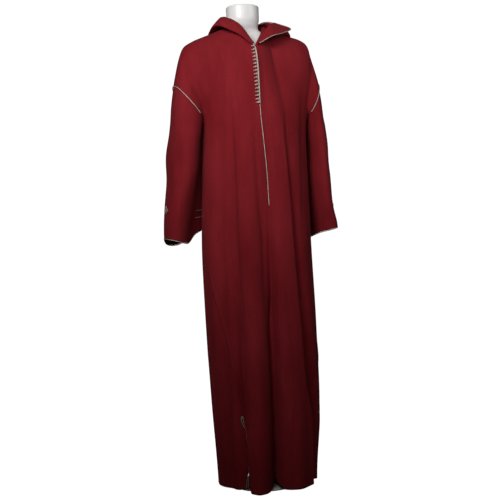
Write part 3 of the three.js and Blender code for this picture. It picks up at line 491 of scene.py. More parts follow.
class NodeBoard:
    """A material's nodes, with short ways to add the kinds that the finishes share."""

    def __init__(self, material: bpy.types.Material) -> None:
        """Empties the material and gives it a surface shader.

        Args:
            material: The material to fill.
        """
        material.use_nodes = True
        self.nodes = material.node_tree.nodes
        self.links = material.node_tree.links
        self.nodes.clear()
        self.shader = self.nodes.new("ShaderNodeBsdfPrincipled")
        output = self.nodes.new("ShaderNodeOutputMaterial")
        self.links.new(self.shader.outputs["BSDF"], output.inputs["Surface"])
        self.coordinates = self.nodes.new("ShaderNodeTexCoord")

    def plug(self, socket: Socket, name: str) -> None:
        """Joins a socket to one of the shader's."""
        self.links.new(socket, self.shader.inputs[name])

    def put(self, name: str, value: float | Sequence[float]) -> None:
        """Puts a constant on one of the shader's sockets."""
        self.shader.inputs[name].default_value = value

    def noise(self, scale: float, detail: float, stretch: Sequence[float] = (1, 1, 1)) -> Socket:
        """Value of a noise on the object's own coordinates.

        Args:
            scale: How fine it is, in waves to a metre.
            detail: How many finer layers it has.
            stretch: Scale along each axis.

        Returns:
            The noise's value socket.
        """
        mapping = self.nodes.new("ShaderNodeMapping")
        mapping.inputs["Scale"].default_value = stretch
        self.links.new(self.coordinates.outputs["Object"], mapping.inputs["Vector"])
        noise = self.nodes.new("ShaderNodeTexNoise")
        noise.inputs["Scale"].default_value = scale
        noise.inputs["Detail"].default_value = detail
        self.links.new(mapping.outputs["Vector"], noise.inputs["Vector"])
        return noise.outputs["Fac"]

    def weave(self, pitch: float, direction: str, wander: float = 0.6) -> Socket:
        """Value of a band pattern on the cloth's own places.

        Args:
            pitch: Distance between threads, in metres.
            direction: X for threads along the piece and Y for threads across it.
            wander: How far the threads stray from straight lines.

        Returns:
            The pattern's value socket.
        """
        wave = self.nodes.new("ShaderNodeTexWave")
        wave.bands_direction = direction
        wave.inputs["Scale"].default_value = WAVE_PERIOD / pitch
        wave.inputs["Distortion"].default_value = wander
        self.links.new(self.coordinates.outputs["UV"], wave.inputs["Vector"])
        return wave.outputs["Fac"]

    def between(
        self, value: Socket, low: float, high: float, floor: float, ceiling: float
    ) -> Socket:
        """A value carried from one range to another one, and kept in it.

        Args:
            value: Socket of the value.
            low: Start of the range that it comes from.
            high: End of that range.
            floor: What low becomes.
            ceiling: What high becomes.

        Returns:
            The new value's socket.
        """
        ranger = self.nodes.new("ShaderNodeMapRange")
        limits = {"From Min": low, "From Max": high, "To Min": floor, "To Max": ceiling}
        for name, number in limits.items():
            ranger.inputs[name].default_value = number
        self.links.new(value, ranger.inputs["Value"])
        return ranger.outputs["Result"]

    def mixed(self, share: Socket, first: Colour, second: Colour) -> Socket:
        """Colour between two colours.

        Args:
            share: Socket of a share from 0 for the first to 1 for the second.
            first: A colour.
            second: Another one.

        Returns:
            The colour's socket.
        """
        mix = self.nodes.new("ShaderNodeMix")
        mix.data_type = "RGBA"
        mix.inputs["A"].default_value = (*first, 1)
        mix.inputs["B"].default_value = (*second, 1)
        self.links.new(share, mix.inputs["Factor"])
        return mix.outputs["Result"]

    def darkened(self, colour: Socket, share: Socket) -> Socket:
        """Colour times a value.

        Args:
            colour: Socket of the colour.
            share: Socket of the value.

        Returns:
            The colour's socket.
        """
        mix = self.nodes.new("ShaderNodeMix")
        mix.data_type = "RGBA"
        mix.blend_type = "MULTIPLY"
        mix.inputs["Factor"].default_value = 1
        self.links.new(colour, mix.inputs["A"])
        self.links.new(share, mix.inputs["B"])
        return mix.outputs["Result"]

    def bump(
        self, height: Socket, distance: float, strength: float, under: Socket | None = None
    ) -> Socket:
        """Bump from a height, over another bump if there is one.

        Args:
            height: Socket of the height.
            distance: How high a height of 1 stands, in metres.
            strength: How much of it counts.
            under: Normal socket of a bump that it lies on.

        Returns:
            The normal socket.
        """
        node = self.nodes.new("ShaderNodeBump")
        node.inputs["Distance"].default_value = distance
        node.inputs["Strength"].default_value = strength
        self.links.new(height, node.inputs["Height"])
        if under is not None:
            self.links.new(under, node.inputs["Normal"])
        return node.outputs["Normal"]


@dataclass(frozen=True)
class Finish:
    """What a piece is made of: the record's slot, and the material that it gets."""

    name: str
    slot: str

    def material(self) -> bpy.types.Material:
        """The finish's material, made the first time that it is asked for."""
        known = bpy.data.materials.get(self.name)
        if known is not None:
            return known
        material = bpy.data.materials.new(self.name)
        self.dress(NodeBoard(material))
        return material

    def dress(self, board: NodeBoard) -> None:
        """Fills the material's nodes."""
        raise NotImplementedError


@dataclass(frozen=True)
class BrushedCloth(Finish):
    """Matt brushed cloth with a short nap that catches light at its edges."""

    deep: Colour = (0.170, 0.0075, 0.0115)
    worn: Colour = (0.235, 0.0145, 0.0205)
    shine: float = 0.1
    sheen: float = 0.1
    sheen_roughness: float = 0.45
    sheen_tint: Colour = (0.85, 0.2, 0.22)
    thread: float = 0.0011
    thread_height: float = 0.00006
    thread_strength: float = 0.35

    def dress(self, board: NodeBoard) -> None:
        """Cloudy colour, fibres stretched along the fall of the cloth, and a fine weave."""
        cloudy = board.noise(9, 5, (1, 1, 0.45))
        nap = board.noise(420, 3, (1, 1, 0.4))
        streaks = board.noise(60, 4, (1, 1, 0.12))
        share = board.between(cloudy, 0.32, 0.68, 0, 1)
        colour = board.mixed(share, self.deep, self.worn)
        colour = board.darkened(colour, board.between(streaks, 0.3, 0.7, 0.93, 1.05))
        colour = board.darkened(colour, board.between(nap, 0.25, 0.75, 0.86, 1.1))
        board.plug(colour, "Base Color")
        rough = board.between(nap, 0.2, 0.8, 0.84, 0.96)
        board.plug(rough, "Roughness")
        board.put("Specular IOR Level", self.shine)
        board.put("Sheen Weight", self.sheen)
        board.put("Sheen Roughness", self.sheen_roughness)
        board.put("Sheen Tint", (*self.sheen_tint, 1))
        relief = None
        for direction in "XY":
            threads = board.weave(self.thread, direction)
            relief = board.bump(threads, self.thread_height, self.thread_strength, relief)
        relief = board.bump(nap, 0.0005, 0.45, relief)
        relief = board.bump(board.noise(34, 4), 0.0016, 0.25, relief)
        board.plug(relief, "Normal")


@dataclass(frozen=True)
class SilkCord(Finish):
    """Silk cord with a soft sheen along its threads."""

    light: Colour = (0.60, 0.52, 0.45)
    shade: Colour = (0.36, 0.28, 0.23)
    roughness: float = 0.48
    sheen: float = 0.3

    def dress(self, board: NodeBoard) -> None:
        """Threads under a millimetre wide, darker between them, and a little dust."""
        threads = board.noise(1400, 2)
        colour = board.mixed(board.between(threads, 0.35, 0.65, 0, 1), self.shade, self.light)
        dust = board.noise(70, 3)
        colour = board.darkened(colour, board.between(dust, 0.3, 0.7, 0.85, 1.05))
        board.plug(colour, "Base Color")
        board.put("Roughness", self.roughness)
        board.put("Sheen Weight", self.sheen)
        board.put("Sheen Roughness", self.sheen)
        relief = board.bump(threads, 0.0002, 0.5)
        board.plug(relief, "Normal")


@dataclass(frozen=True)
class Shell(Finish):
    """Glossy white shell with the slight waves of a moulding."""

    colour: Colour = (0.9, 0.89, 0.88)
    roughness: float = 0.3
    uneven_gloss: float = 0.1
    coat: float = 0.15
    coat_roughness: float = 0.2

    def dress(self, board: NodeBoard) -> None:
        """Nearly even colour, a clear coat, and long low waves."""
        clouds = board.noise(7, 3)
        dull = tuple(0.95 * c for c in self.colour)
        colour = board.mixed(board.between(clouds, 0.35, 0.65, 0, 1), dull, self.colour)
        board.plug(colour, "Base Color")
        dullest = self.roughness + self.uneven_gloss
        rough = board.between(board.noise(120, 4), 0.3, 0.7, self.roughness, dullest)
        board.plug(rough, "Roughness")
        board.put("Coat Weight", self.coat)
        board.put("Coat Roughness", self.coat_roughness)
        relief = board.bump(board.noise(16, 2), 0.002, 0.12)
        board.plug(relief, "Normal")


@dataclass(frozen=True)
class Enamel(Finish):
    """White enamelled steel with a fine orange peel."""

    colour: Colour = (0.74, 0.74, 0.72)
    roughness: float = 0.34

    def dress(self, board: NodeBoard) -> None:
        """Even colour with a little dust, and fine peel."""
        dust = board.between(board.noise(45, 4), 0.35, 0.7, 0.95, 1.0)
        tone = board.mixed(dust, tuple(0.9 * c for c in self.colour), self.colour)
        board.plug(tone, "Base Color")
        board.put("Roughness", self.roughness)
        peel = board.bump(board.noise(900, 2), 0.0001, 0.3)
        board.plug(peel, "Normal")


RED_CLOTH = BrushedCloth("brushed_red_cloth", "red_cloth")
SILVER_CORD = SilkCord("silver_silk_cord", "silver_cord")
FORM_SHELL = Shell("white_form_shell", "form_shell")
FORM_METAL = Enamel("white_enamel", "form_metal")


# ---------------------------------------------------------------- the body of the garment


@dataclass(frozen=True)
class Fold:
    """A long fold of the skirt, given at the underarm, half way down and at the hem.

    Bearings are degrees round from the front, positive towards the wearer's left. A
    negative depth is a ridge. right and left are its widths towards the wearer's sides.
    """

    bearings: tuple[float, float, float]
    depths: tuple[float, float, float]
    right: float
    left: float


@dataclass(frozen=True)
class Crease:
    """A soft line that wanders down the skirt, with a slope of its own on each side."""

    z: tuple[float, ...]
    bearing: tuple[float, ...]
    depth: tuple[float, ...]
    right: float
    left: float

    def depth_at(self, bearing: Grid, z: Grid) -> Grid:
        """depth(z) exp(-(off / width)^2), where width differs on either side of the line.

        Args:
            bearing: Bearings in degrees.
            z: Heights.

        Returns:
            Depth in towards the axis.
        """
        line = Table(self.z, bearing=self.bearing, depth=self.depth)
        off = turned(bearing, line.read("bearing", z))
        width = np.where(off < 0, self.right, self.left)
        foot, top = self.z[0], self.z[-1]
        reach = smooth(z, foot - CREASE_FADE, foot) * (1 - smooth(z, top, top + CREASE_FADE))
        return line.read("depth", z) * reach * bell(off, 0, width)


@dataclass(frozen=True)
class YokeCrease:
    """A soft line down the yoke: u across the panel at rising v, from the underarm up."""

    v: tuple[float, ...]
    u: tuple[float, ...]
    depth: tuple[float, ...]
    width: float

    def depth_at(self, u: Grid, v: Grid) -> Grid:
        """depth(v) exp(-((u - u(v)) / width)^2)."""
        line = Table(self.v, u=self.u, depth=self.depth)
        return line.read("depth", v) * bell(u, line.read("u", v), self.width)


@dataclass
class Drape:
    """The surface that both body panels are cut from, as it hangs."""

    body: Table = field(default_factory=lambda: Table(
        (10, 60, 240, 500, 750, 950, 1080, 1140, 1165, 1200),
        cx=(8, 9, 14, 12, 10, 15, 19, 21, 23, 23),
        cy=(4,) * 10,
        a=(164, 166, 178, 181, 179, 174, 169, 168, 172, 174),
        b=(150, 150, 150, 146, 140, 132, 126, 123, 121, 119),
    ))
    seams: Table = field(default_factory=lambda: Table(
        (18, 225, 330, 432, 539, 633, 760, 885, 1020, 1165),
        right=(-44, -43, -44, -51, -61, -71, -83, -90, -90, -90),
        front=(12, 11, 10, 9, 8, 6, 4, 3, 0, -5),
        left=(128, 127, 125, 119, 111, 104, 96, 90, 90, 90),
    ))
    hem: Table = field(default_factory=lambda: Table(
        (-180, -90, -45, -39, -34, -22, -9, -3.5, 0, 6, 22, 46, 52, 60, 95, 180),
        z=(16, 15, 13, 14, 7, 4, 9, 36, 17, 10, 7, 8, 16, 12, 8, 16),
    ))
    folds: tuple[Fold, ...] = (
        Fold((-46, -54, -62), (4, 10, 9), 10, 8),
        Fold((-37, -35, -39), (4, 21, 30), 8.5, 2.8),
        Fold((-20, -22, -23), (-2, -10, -17), 11, 13),
        Fold((2, 1.5, -3), (3, 34, 62), 12, 2.4),
        Fold((13, 17, 20), (-2, -8, -10), 10, 11),
        Fold((26, 32.5, 49), (4, 23, 33), 2.4, 12),
        Fold((58, 66, 76), (2, 8, 10), 9, 9),
        Fold((118, 112, 106), (3, 13, 19), 12, 7),
        Fold((148, 146, 141), (4, 15, 24), 5, 12),
        Fold((178, 181, 178), (5, 17, 27), 11, 6),
        Fold((212, 210, 216), (4, 14, 21), 5, 11),
        Fold((240, 244, 249), (3, 12, 17), 11, 6),
    )
    creases: tuple[Crease, ...] = (
        # a wide soft fall from the chest on the wearer's right, which fades at the knee
        Crease((560, 782, 922, 1058, 1165), (-53, -54, -55, -54, -50), (0, 3, 4, 4, 2), 5, 8),
        # the sharper line between it and the middle, all the way to the hem
        Crease(
            (30, 162, 280, 398, 546, 694, 836, 1040, 1165),
            (-40, -38.5, -40, -39, -35, -33.5, -34, -38, -41),
            (6, 7, 6, 7, 6, 6, 5, 3.5, 1.5), 2.4, 4.5,
        ),
        # a short soft line that runs into the middle valley
        Crease(
            (454, 632, 776, 886, 994, 1106, 1165),
            (-8, -8, -6.5, -9, -10.5, -11.5, -11),
            (0, 5, 5, 4.5, 3.5, 2.5, 1), 2.2, 3.6,
        ),
        # the bottom of the middle valley
        Crease(
            (34, 156, 394, 514, 628, 746, 886, 1022, 1134),
            (-3, -3.5, -3, -2.5, 3.5, 4.5, 6, 4, 1),
            (10, 9, 9, 8, 7, 7, 6, 3.5, 1.5), 3.2, 1.8,
        ),
        # the edge of the wearer's left fold: a crisp ridge with a fall behind it
        Crease(
            (18, 104, 230, 324, 444, 566, 790, 1020, 1165),
            (49, 45, 37, 29, 27.5, 26.5, 26, 22, 18),
            (-3, -4, -5, -5, -4.5, -4, -3.5, -2.5, -1), 7, 1.8,
        ),
        Crease(
            (18, 104, 230, 324, 444, 566, 790, 1020, 1165),
            (53, 49, 41.5, 33.5, 32, 31, 30, 26, 22),
            (4, 5, 6, 6, 5, 5, 4.5, 3, 1), 1.8, 7,
        ),
        # a soft line down the wearer's left
        Crease((640, 800, 960, 1120, 1165), (47, 48, 50, 53, 54), (0, 2.5, 3.5, 3, 1.5), 5, 6),
        Crease((250, 330, 398, 470), (44, 62, 80, 88), (-2, -2.5, -2, 0), 4, 4),
        # the side seam stands up slightly where it crosses the skirt
        Crease(
            (243, 348, 446, 548, 638, 760),
            (-42.5, -45, -51, -60, -68, -80),
            (-2, -3, -3, -2.5, -2, 0), 1.3, 2.2,
        ),
        # faint lines on the two middle lobes
        Crease((80, 240, 420, 560), (-24, -25, -23, -22), (1.5, 2, 1.5, 0), 2.5, 2.5),
        Crease((60, 200, 360, 520, 700), (12, 14, 16, 15, 13), (1.5, 2.2, 1.8, 1.2, 0), 2.4, 3),
        Crease((30, 150, 300), (-29, -30, -31), (2.5, 2, 0), 1.8, 2.6),
        # the back, as uneven as the front
        Crease((20, 300, 620, 900, 1100), (110, 114, 116, 119, 120), (7, 6, 5, 3, 0), 2.6, 5),
        Crease((20, 260, 520, 760), (128, 129, 126, 124), (4, 3, 2, 0), 2, 3.4),
        Crease((20, 320, 640, 980, 1160), (143, 147, 149, 150, 151), (8, 7, 6, 4, 1), 4.6, 2.2),
        Crease((120, 380, 640), (161, 163, 165), (2.5, 3, 0), 3, 3),
        Crease((20, 360, 700, 1000, 1165), (176, 180, 182, 180, 178), (9, 8, 6, 4, 2), 2.4, 4.4),
        Crease((20, 300, 560, 820), (196, 197, 195, 193), (4, 4, 3, 0), 3.2, 2),
        Crease((20, 300, 620, 940, 1120), (219, 213, 211, 213, 215), (8, 6, 5, 3, 0), 4.8, 2.4),
        Crease((20, 240, 500, 720), (234, 232, 231, 230), (3, 3.5, 2, 0), 2.4, 3),
        Crease((20, 340, 680, 1020), (251, 247, 245, 243), (6, 5, 4, 0), 2.4, 4.6),
        # the wearer's right, behind the sleeve
        Crease((60, 300, 560, 820, 1040), (-78, -80, -84, -88, -92), (4, 5, 4, 3, 0), 3, 4.4),
        Crease((30, 220, 420), (-97, -99, -101), (3, 4, 0), 2.6, 3.2),
    )
    ripple: float = 0.9
    ripple_turns: float = 12.0
    ripple_height: float = 90.0
    ripple_fade: float = 140.0

    @staticmethod
    def between_levels(levels: Sequence[float], z: Grid) -> Grid:
        """Straight from the hem to half way up, and straight on to the underarm.

        Args:
            levels: Values at the underarm, half way down and at the hem.
            z: Heights.

        Returns:
            The value at each height.
        """
        top, half_way, hem = levels
        middle = (UNDERARM_Z + HEM_Z) / 2
        low_share = (z - HEM_Z) / (middle - HEM_Z)
        share = np.where(z < middle, low_share, (z - middle) / (UNDERARM_Z - middle))
        below = hem + (half_way - hem) * share
        above = half_way + (top - half_way) * share
        return np.where(z < middle, below, above)

    def fold_depth(self, bearing: Grid, z: Grid) -> Grid:
        """Depth of all folds and creases: sum of depth(z) exp(-(off / width)^2).

        A low ripple runs over them, which dies away below the underarm.

        Args:
            bearing: Bearings in degrees.
            z: Heights.

        Returns:
            Depth in towards the axis.
        """
        depth = np.zeros(np.broadcast(bearing, z).shape)
        for fold in self.folds:
            deep = self.between_levels(fold.depths, z)
            off = turned(bearing, self.between_levels(fold.bearings, z))
            depth += deep * bell(off, 0, np.where(off < 0, fold.right, fold.left))
        for crease in self.creases:
            depth += crease.depth_at(bearing, z)
        fade = 1 - smooth(z, UNDERARM_Z - self.ripple_fade, UNDERARM_Z)
        round_trip = self.ripple_turns * np.sin(np.radians(bearing))
        return depth + self.ripple * fade * uneven(round_trip, z / self.ripple_height, 0.7)

    def skirt(self, bearing: Grid, z: Grid, lift: Grid | float = 0.0) -> Grid:
        """(cx + (a - depth + lift) sin bearing, cy - (b - depth + lift) cos bearing, z).

        Args:
            bearing: Bearings in degrees.
            z: Heights.
            lift: How far out of the drape it stands.

        Returns:
            Points on the outside of the skirt.
        """
        depth = self.fold_depth(bearing, z) - lift
        turn = np.radians(bearing)
        x = self.body.read("cx", z) + (self.body.read("a", z) - depth) * np.sin(turn)
        y = self.body.read("cy", z) - (self.body.read("b", z) - depth) * np.cos(turn)
        return np.stack([x, y, np.broadcast_to(z, x.shape)], -1)

    def hem_z(self, bearing: Grid) -> Grid:
        """Height of the hem at a bearing."""
        return self.hem.read("z", turned(bearing, 0))


@dataclass
class Arm:
    """The surface of one sleeve, as it hangs.

    turn goes round the arm in degrees: 0 is outside, 90 in front and 180 inside.
    """

    side: Side
    sections: Table
    cuff: Table
    armhole_top: float
    ripple: float = 1.1
    ripple_turns: float = 2.6
    ripple_height: float = 46.0
    buckle: float = 2.2
    buckle_z: float = 1010.0
    buckle_reach: float = 90.0
    buckle_height: float = 31.0
    even_top: tuple[float, float] = (190.0, 110.0)
    even_foot: tuple[float, float] = (800.0, 860.0)
    tuck_turn: float = 230.0
    tuck_width: float = 32.0

    def point(self, turn: Grid, z: Grid) -> Grid:
        """(cx + out a cos turn + lean d + tuck, cy + d, z), where d = -b sin turn.

        a and b swell with a ripple and with the buckles at the elbow, and the tuck is
        exp(-((turn - tuck_turn) / tuck_width)^2) of its depth, towards the body.

        Args:
            turn: Degrees round the arm.
            z: Heights.

        Returns:
            Points on the outside of the sleeve.
        """
        out = self.side.value
        read = self.sections.read
        angle = np.radians(turn)
        start, end = (self.armhole_top - drop for drop in self.even_top)
        fade = (1 - smooth(z, start, end)) * smooth(z, *self.even_foot)
        waves = uneven(self.ripple_turns * np.cos(angle), z / self.ripple_height, 2.0 + out)
        swell = self.ripple * fade * waves
        elbow = bell(z, self.buckle_z, self.buckle_reach)
        bends = np.sin(z / self.buckle_height + 2.4 * np.sin(angle) + out)
        swell = swell + self.buckle * fade * bends * elbow
        deep = -(read("b", z) + swell) * np.sin(angle)
        tuck = -out * read("tuck", z) * bell(turn % 360, self.tuck_turn, self.tuck_width)
        x = read("cx", z) + out * (read("a", z) + swell) * np.cos(angle)
        x = x + tuck + read("lean", z) * deep
        y = read("cy", z) + deep
        return np.stack([x, y, np.broadcast_to(z, x.shape)], -1)

    def normal(self, turn: Grid, z: Grid) -> Grid:
        """Out of the sleeve: the step round it crossed with the step up it."""
        round_step = self.point(turn + 1, z) - self.point(turn - 1, z)
        up_step = self.point(turn, z + 1) - self.point(turn, z - 1)
        return -self.side.value * unit(np.cross(round_step, up_step))

    def armhole_z(self, turn: Grid) -> Grid:
        """Height of the armhole seam: a cosine between the underarm and the shoulder."""
        share = (1 + np.cos(np.radians(turn))) / 2
        return UNDERARM_Z + (self.armhole_top - UNDERARM_Z) * share

    def armhole(self, turn: Grid) -> Grid:
        """Points of the armhole seam."""
        return self.point(turn, self.armhole_z(turn))

    def cuff_z(self, turn: Grid) -> Grid:
        """Height of the cuff's edge."""
        return self.cuff.read("z", np.asarray(turn) % 360)


RIGHT_ARM = Arm(
    Side.RIGHT,
    Table(
        (740, 796, 866, 953, 1062, 1140, 1165, 1217, 1290),
        cx=(-254, -252, -244, -230, -217, -203, -200, -199, -192),
        cy=(14, 14, 14, 14, 14, 12, 8, 4, 0),
        a=(36, 38, 42, 46, 49, 50, 50, 46, 41),
        b=(74, 76, 80, 82, 80, 74, 71, 66, 58),
        lean=(0.2, 0.2, 0.16, 0.08, 0, 0, 0, 0, 0),
        tuck=(58, 58, 60, 58, 48, 28, 6, 0, 0),
    ),
    Table(
        (0, 50, 100, 150, 185, 205, 235, 252, 275, 325, 360),
        z=(801, 797, 789, 782, 787, 814, 824, 800, 780, 784, 801),
    ),
    1274.0,
)
LEFT_ARM = Arm(
    Side.LEFT,
    Table(
        (740, 821, 884, 953, 1062, 1140, 1165, 1217, 1290),
        cx=(244, 244, 237, 234, 232, 226, 223, 219, 210),
        cy=(20, 20, 20, 20, 18, 14, 9, 4, 0),
        a=(33, 33, 32, 32, 32, 31, 28, 27, 27),
        b=(80, 82, 84, 84, 82, 76, 72, 66, 58),
        lean=(-0.14, -0.1, -0.04, 0, 0, 0, 0, 0, 0),
        tuck=(0,) * 9,
    ),
    Table(
        (0, 50, 100, 150, 200, 240, 300, 360),
        z=(815, 811, 804, 797, 786, 786, 800, 815),
    ),
    1281.0,
)
ARMS = (RIGHT_ARM, LEFT_ARM)


@dataclass
class TopEdge:
    """Half of a panel's top edge: over the shoulder, then round the neck to its middle."""

    shoulder: Curve
    neck: Curve
    shoulder_share: float = 0.7

    def at(self, share: Grid) -> Grid:
        """Points at shares of the edge, the first part of which is the shoulder.

        Args:
            share: Values from 0 at the armhole to 1 at the middle of the neck.

        Returns:
            One point for each share.
        """
        on_shoulder = self.shoulder.at(share / self.shoulder_share)
        on_neck = self.neck.at((share - self.shoulder_share) / (1 - self.shoulder_share))
        return np.where((share < self.shoulder_share)[..., None], on_shoulder, on_neck)


@dataclass
class Panel:
    """The front or the back: a skirt that goes up into a yoke, the shoulder and the neck.

    bow is how far along x, y and z the neckline has gone half way, swell is the rise of
    the chest, and valleys are the hollows beside the wearer's right and left arm.
    """

    kind: PanelKind
    drape: Drape
    columns: int
    neck: tuple[float, float, float]
    bow: tuple[float, float, float]
    swell: float
    valleys: tuple[float, float]
    yoke_creases: tuple[YokeCrease, ...]
    shoulders: tuple[tuple[tuple[float, float], ...], ...] = (
        (
            (-233, 1291), (-221, 1342), (-211, 1374), (-199, 1397),
            (-170, 1416), (-116, 1438), (-58, 1463),
        ),
        (
            (236, 1297), (227, 1340), (218, 1374), (209, 1408),
            (188, 1424), (122, 1443), (64, 1463),
        ),
    )
    skirt_rows: int = 124
    yoke_rows: int = 76
    edge_pull: int = 7
    setback_fade: int = 8
    seam_radius: float = 150.0
    slit: float = 0.0011
    ease_rows: float = 10.0
    ease_passes: int = 36
    ease_edge: float = 0.07
    edge_lift_fade: int = 7
    hem_reach: float = 110.0
    line_span: int = 11
    chest_rise: float = 3.4
    chest_round: float = 0.6
    valley_places: tuple[float, float] = (0.12, 0.88)
    valley_width: float = 0.05
    edge_calm: float = 0.06
    yoke_ripple: float = 0.9
    slit_shape: Table = field(default_factory=lambda: Table(
        # how far each panel's edge stays back from the slit, and how far the front's stands off
        (12, 30, 60, 100, 150, 190, 212, 232, 241, 243),
        front=(4, 6, 9, 11, 11, 9, 5, 3, 1.7, 0),
        back=(2, 0, -5, -16, -18, -9, 0, 3, 1.7, 0),
        lift=(4, 5, 8, 11, 11, 9, 4, 2, 0, 0),
    ))
    tops: list[TopEdge] = field(init=False)
    u: Grid = field(init=False)
    cloth: Grid = field(init=False)

    def __post_init__(self) -> None:
        """Works out both halves of the top edge, the columns and the cloth."""
        self.tops = [self.top_edge(arm, line) for arm, line in zip(ARMS, self.shoulders)]
        self.u = np.linspace(0, 1, self.columns + 1)
        if self.kind is PanelKind.FRONT:
            middle = self.columns // 2
            slit = [0.5 - self.slit, 0.5 + self.slit]
            self.u = np.concatenate([self.u[:middle], slit, self.u[middle + 1:]])
        self.cloth = self.eased(self.surface())

    def top_edge(self, arm: Arm, line: Sequence[Sequence[float]]) -> TopEdge:
        """Half of the top edge.

        Args:
            arm: The sleeve whose armhole it starts from.
            line: x and z of the points along the shoulder.

        Returns:
            The edge, from the armhole to the middle of the neck.
        """
        y = -self.kind.value * SEAM_GAP / 2
        start = arm.armhole(np.array(0.0))
        points = [(start[0], y, start[2])] + [(x, y, z) for x, z in line]
        side = np.array(points[-1])
        middle = np.array(self.neck)
        between = side + (middle - side) * np.array(self.bow)
        return TopEdge(Curve(points), Curve([side, between, middle]))

    def bearing(self, u: Grid, z: Grid) -> Grid:
        """Bearing of column u, kept clear of the seam or the slit at the panel's edges.

        Args:
            u: 0 at the wearer's right edge and 1 at the left one.
            z: Heights.

        Returns:
            Bearings in degrees.
        """
        read = self.drape.seams.read
        right, front, left = (read(name, z) for name in ("right", "front", "left"))
        if self.kind is PanelKind.BACK:
            bearing = right + (left - 360 - right) * u
        else:
            low = right + (front - right) * 2 * u
            high = front + (left - front) * (2 * u - 1)
            bearing = np.where(u < 0.5, low, high)
        setback = SEAM_GAP / 2 + self.slit_shape.read(self.kind.word, z)
        turn = self.kind.value * np.degrees(setback / self.seam_radius)
        return bearing + turn * ((1 - u) ** self.setback_fade - u**self.setback_fade)

    def yoke(self, u: Grid, v: Grid) -> Grid:
        """Point of the yoke.

        It is low(u) (1-v) + high(u) v, plus what draws each edge to its armhole, which
        dies away as (1-u)^edge_pull and u^edge_pull. It swells over the chest by
        v^1.5 sqrt(1-v) sin(pi u)^0.6 and sinks between the chest and each arm by
        exp(-((u - place) / width)^2).

        Args:
            u: 0 to 1 across the panel.
            v: 0 at the underarm and 1 at the shoulder and neck.

        Returns:
            Points on the outside of the yoke.
        """
        u, v = np.broadcast_arrays(np.asarray(u, float), np.asarray(v, float))
        level = np.full_like(u, UNDERARM_Z)
        sign = self.kind.value
        w = v[..., None]

        def straight(share: Grid) -> Grid:
            """Straight up from the underarm to the top edge, at shares of the breadth."""
            low = self.drape.skirt(self.bearing(share, level), level)
            halves = [top.at(np.where(share < 0.5, share, 1 - share) * 2) for top in self.tops]
            high = np.where((share < 0.5)[..., None], halves[0], halves[1])
            return low * (1 - w) + high * w

        points = straight(u)
        keep = SEAM_GAP / 2 * sign * (smooth(v, 0.9, 1) + 1 - smooth(v, 0, 0.1))
        for arm, end, reach in ((RIGHT_ARM, 0.0, 1 - u), (LEFT_ARM, 1.0, u)):
            hole = arm.armhole(sign * 180 * (1 - v))
            hole[..., 1] -= keep
            pull = (reach**self.edge_pull)[..., None]
            points = points + (hole - straight(np.full_like(u, end))) * pull
        rise = self.chest_rise * v**1.5 * np.sqrt(np.maximum(1 - v, 0))
        flat = 1 - 0.5 * bell(u, 0.5, 0.2)
        lift = self.swell * rise * np.sin(math.pi * np.clip(u, 0, 1)) ** self.chest_round * flat
        ends = smooth(v, 0, 0.25) * (1 - smooth(v, 0.7, 1)) * smooth(u, 0, 0.04) * smooth(1 - u, 0, 0.04)
        sink = np.zeros_like(u)
        for depth, place in zip(self.valleys, self.valley_places):
            sink = sink + depth * bell(u, place, self.valley_width)
        calm = self.edge_calm
        inside = smooth(u, 0, calm) * smooth(1 - u, 0, calm) * (1 - smooth(v, 0.86, 1))
        lines = sum((crease.depth_at(u, v) for crease in self.yoke_creases), np.zeros_like(u))
        waves = self.yoke_ripple * smooth(v, 0, 0.3) * uneven(9 * u, 4.5 * v, 1.3 + sign)
        points[..., 1] -= sign * (lift - sink * ends - (lines + waves) * inside)
        return points

    def surface(self) -> Grid:
        """Rows of points from the hem to the neck, from the wearer's right to the left."""
        low = np.linspace(HEM_Z, SLIT_TOP_Z, SLIT_ROWS)[:-1]
        high = np.linspace(SLIT_TOP_Z, UNDERARM_Z, self.skirt_rows - len(low))
        levels = np.concatenate([low, high])
        z, across = np.meshgrid(levels, self.u, indexing="ij")
        bearing = self.bearing(across, z)
        near_hem = 1 - smooth(z, HEM_Z, HEM_Z + self.hem_reach)
        z = z + (self.drape.hem_z(bearing) - HEM_Z) * near_hem
        lift = np.zeros_like(z)
        if self.kind is PanelKind.FRONT:
            ends = (1 - across) ** self.edge_lift_fade + across**self.edge_lift_fade
            lift = self.slit_shape.read("lift", z) * ends
        skirt = self.drape.skirt(bearing, z, lift)
        rows = np.linspace(0, 1, self.yoke_rows + 1)[1:]
        v, across = np.meshgrid(rows, self.u, indexing="ij")
        return np.concatenate([skirt, self.yoke(across, v)])

    def eased(self, points: Grid) -> Grid:
        """The cloth with its rows eased at the underarm, where the yoke runs on from the skirt.

        Each pass takes a row some way to the mean of its neighbours: by half at the
        joint, less as exp(-(rows away / ease_rows)^2), and not at all at the panel's sides.

        Args:
            points: Rows of points, of which skirt_rows belong to the skirt.

        Returns:
            The eased rows.
        """
        rows = np.arange(len(points))[1:-1, None]
        sides = smooth(self.u, 0, self.ease_edge) * smooth(1 - self.u, 0, self.ease_edge)
        weight = (0.5 * bell(rows, self.skirt_rows - 0.5, self.ease_rows) * sides)[..., None]
        points = points.copy()
        for _ in range(self.ease_passes):
            points[1:-1] += weight * ((points[:-2] + points[2:]) / 2 - points[1:-1])
        return points

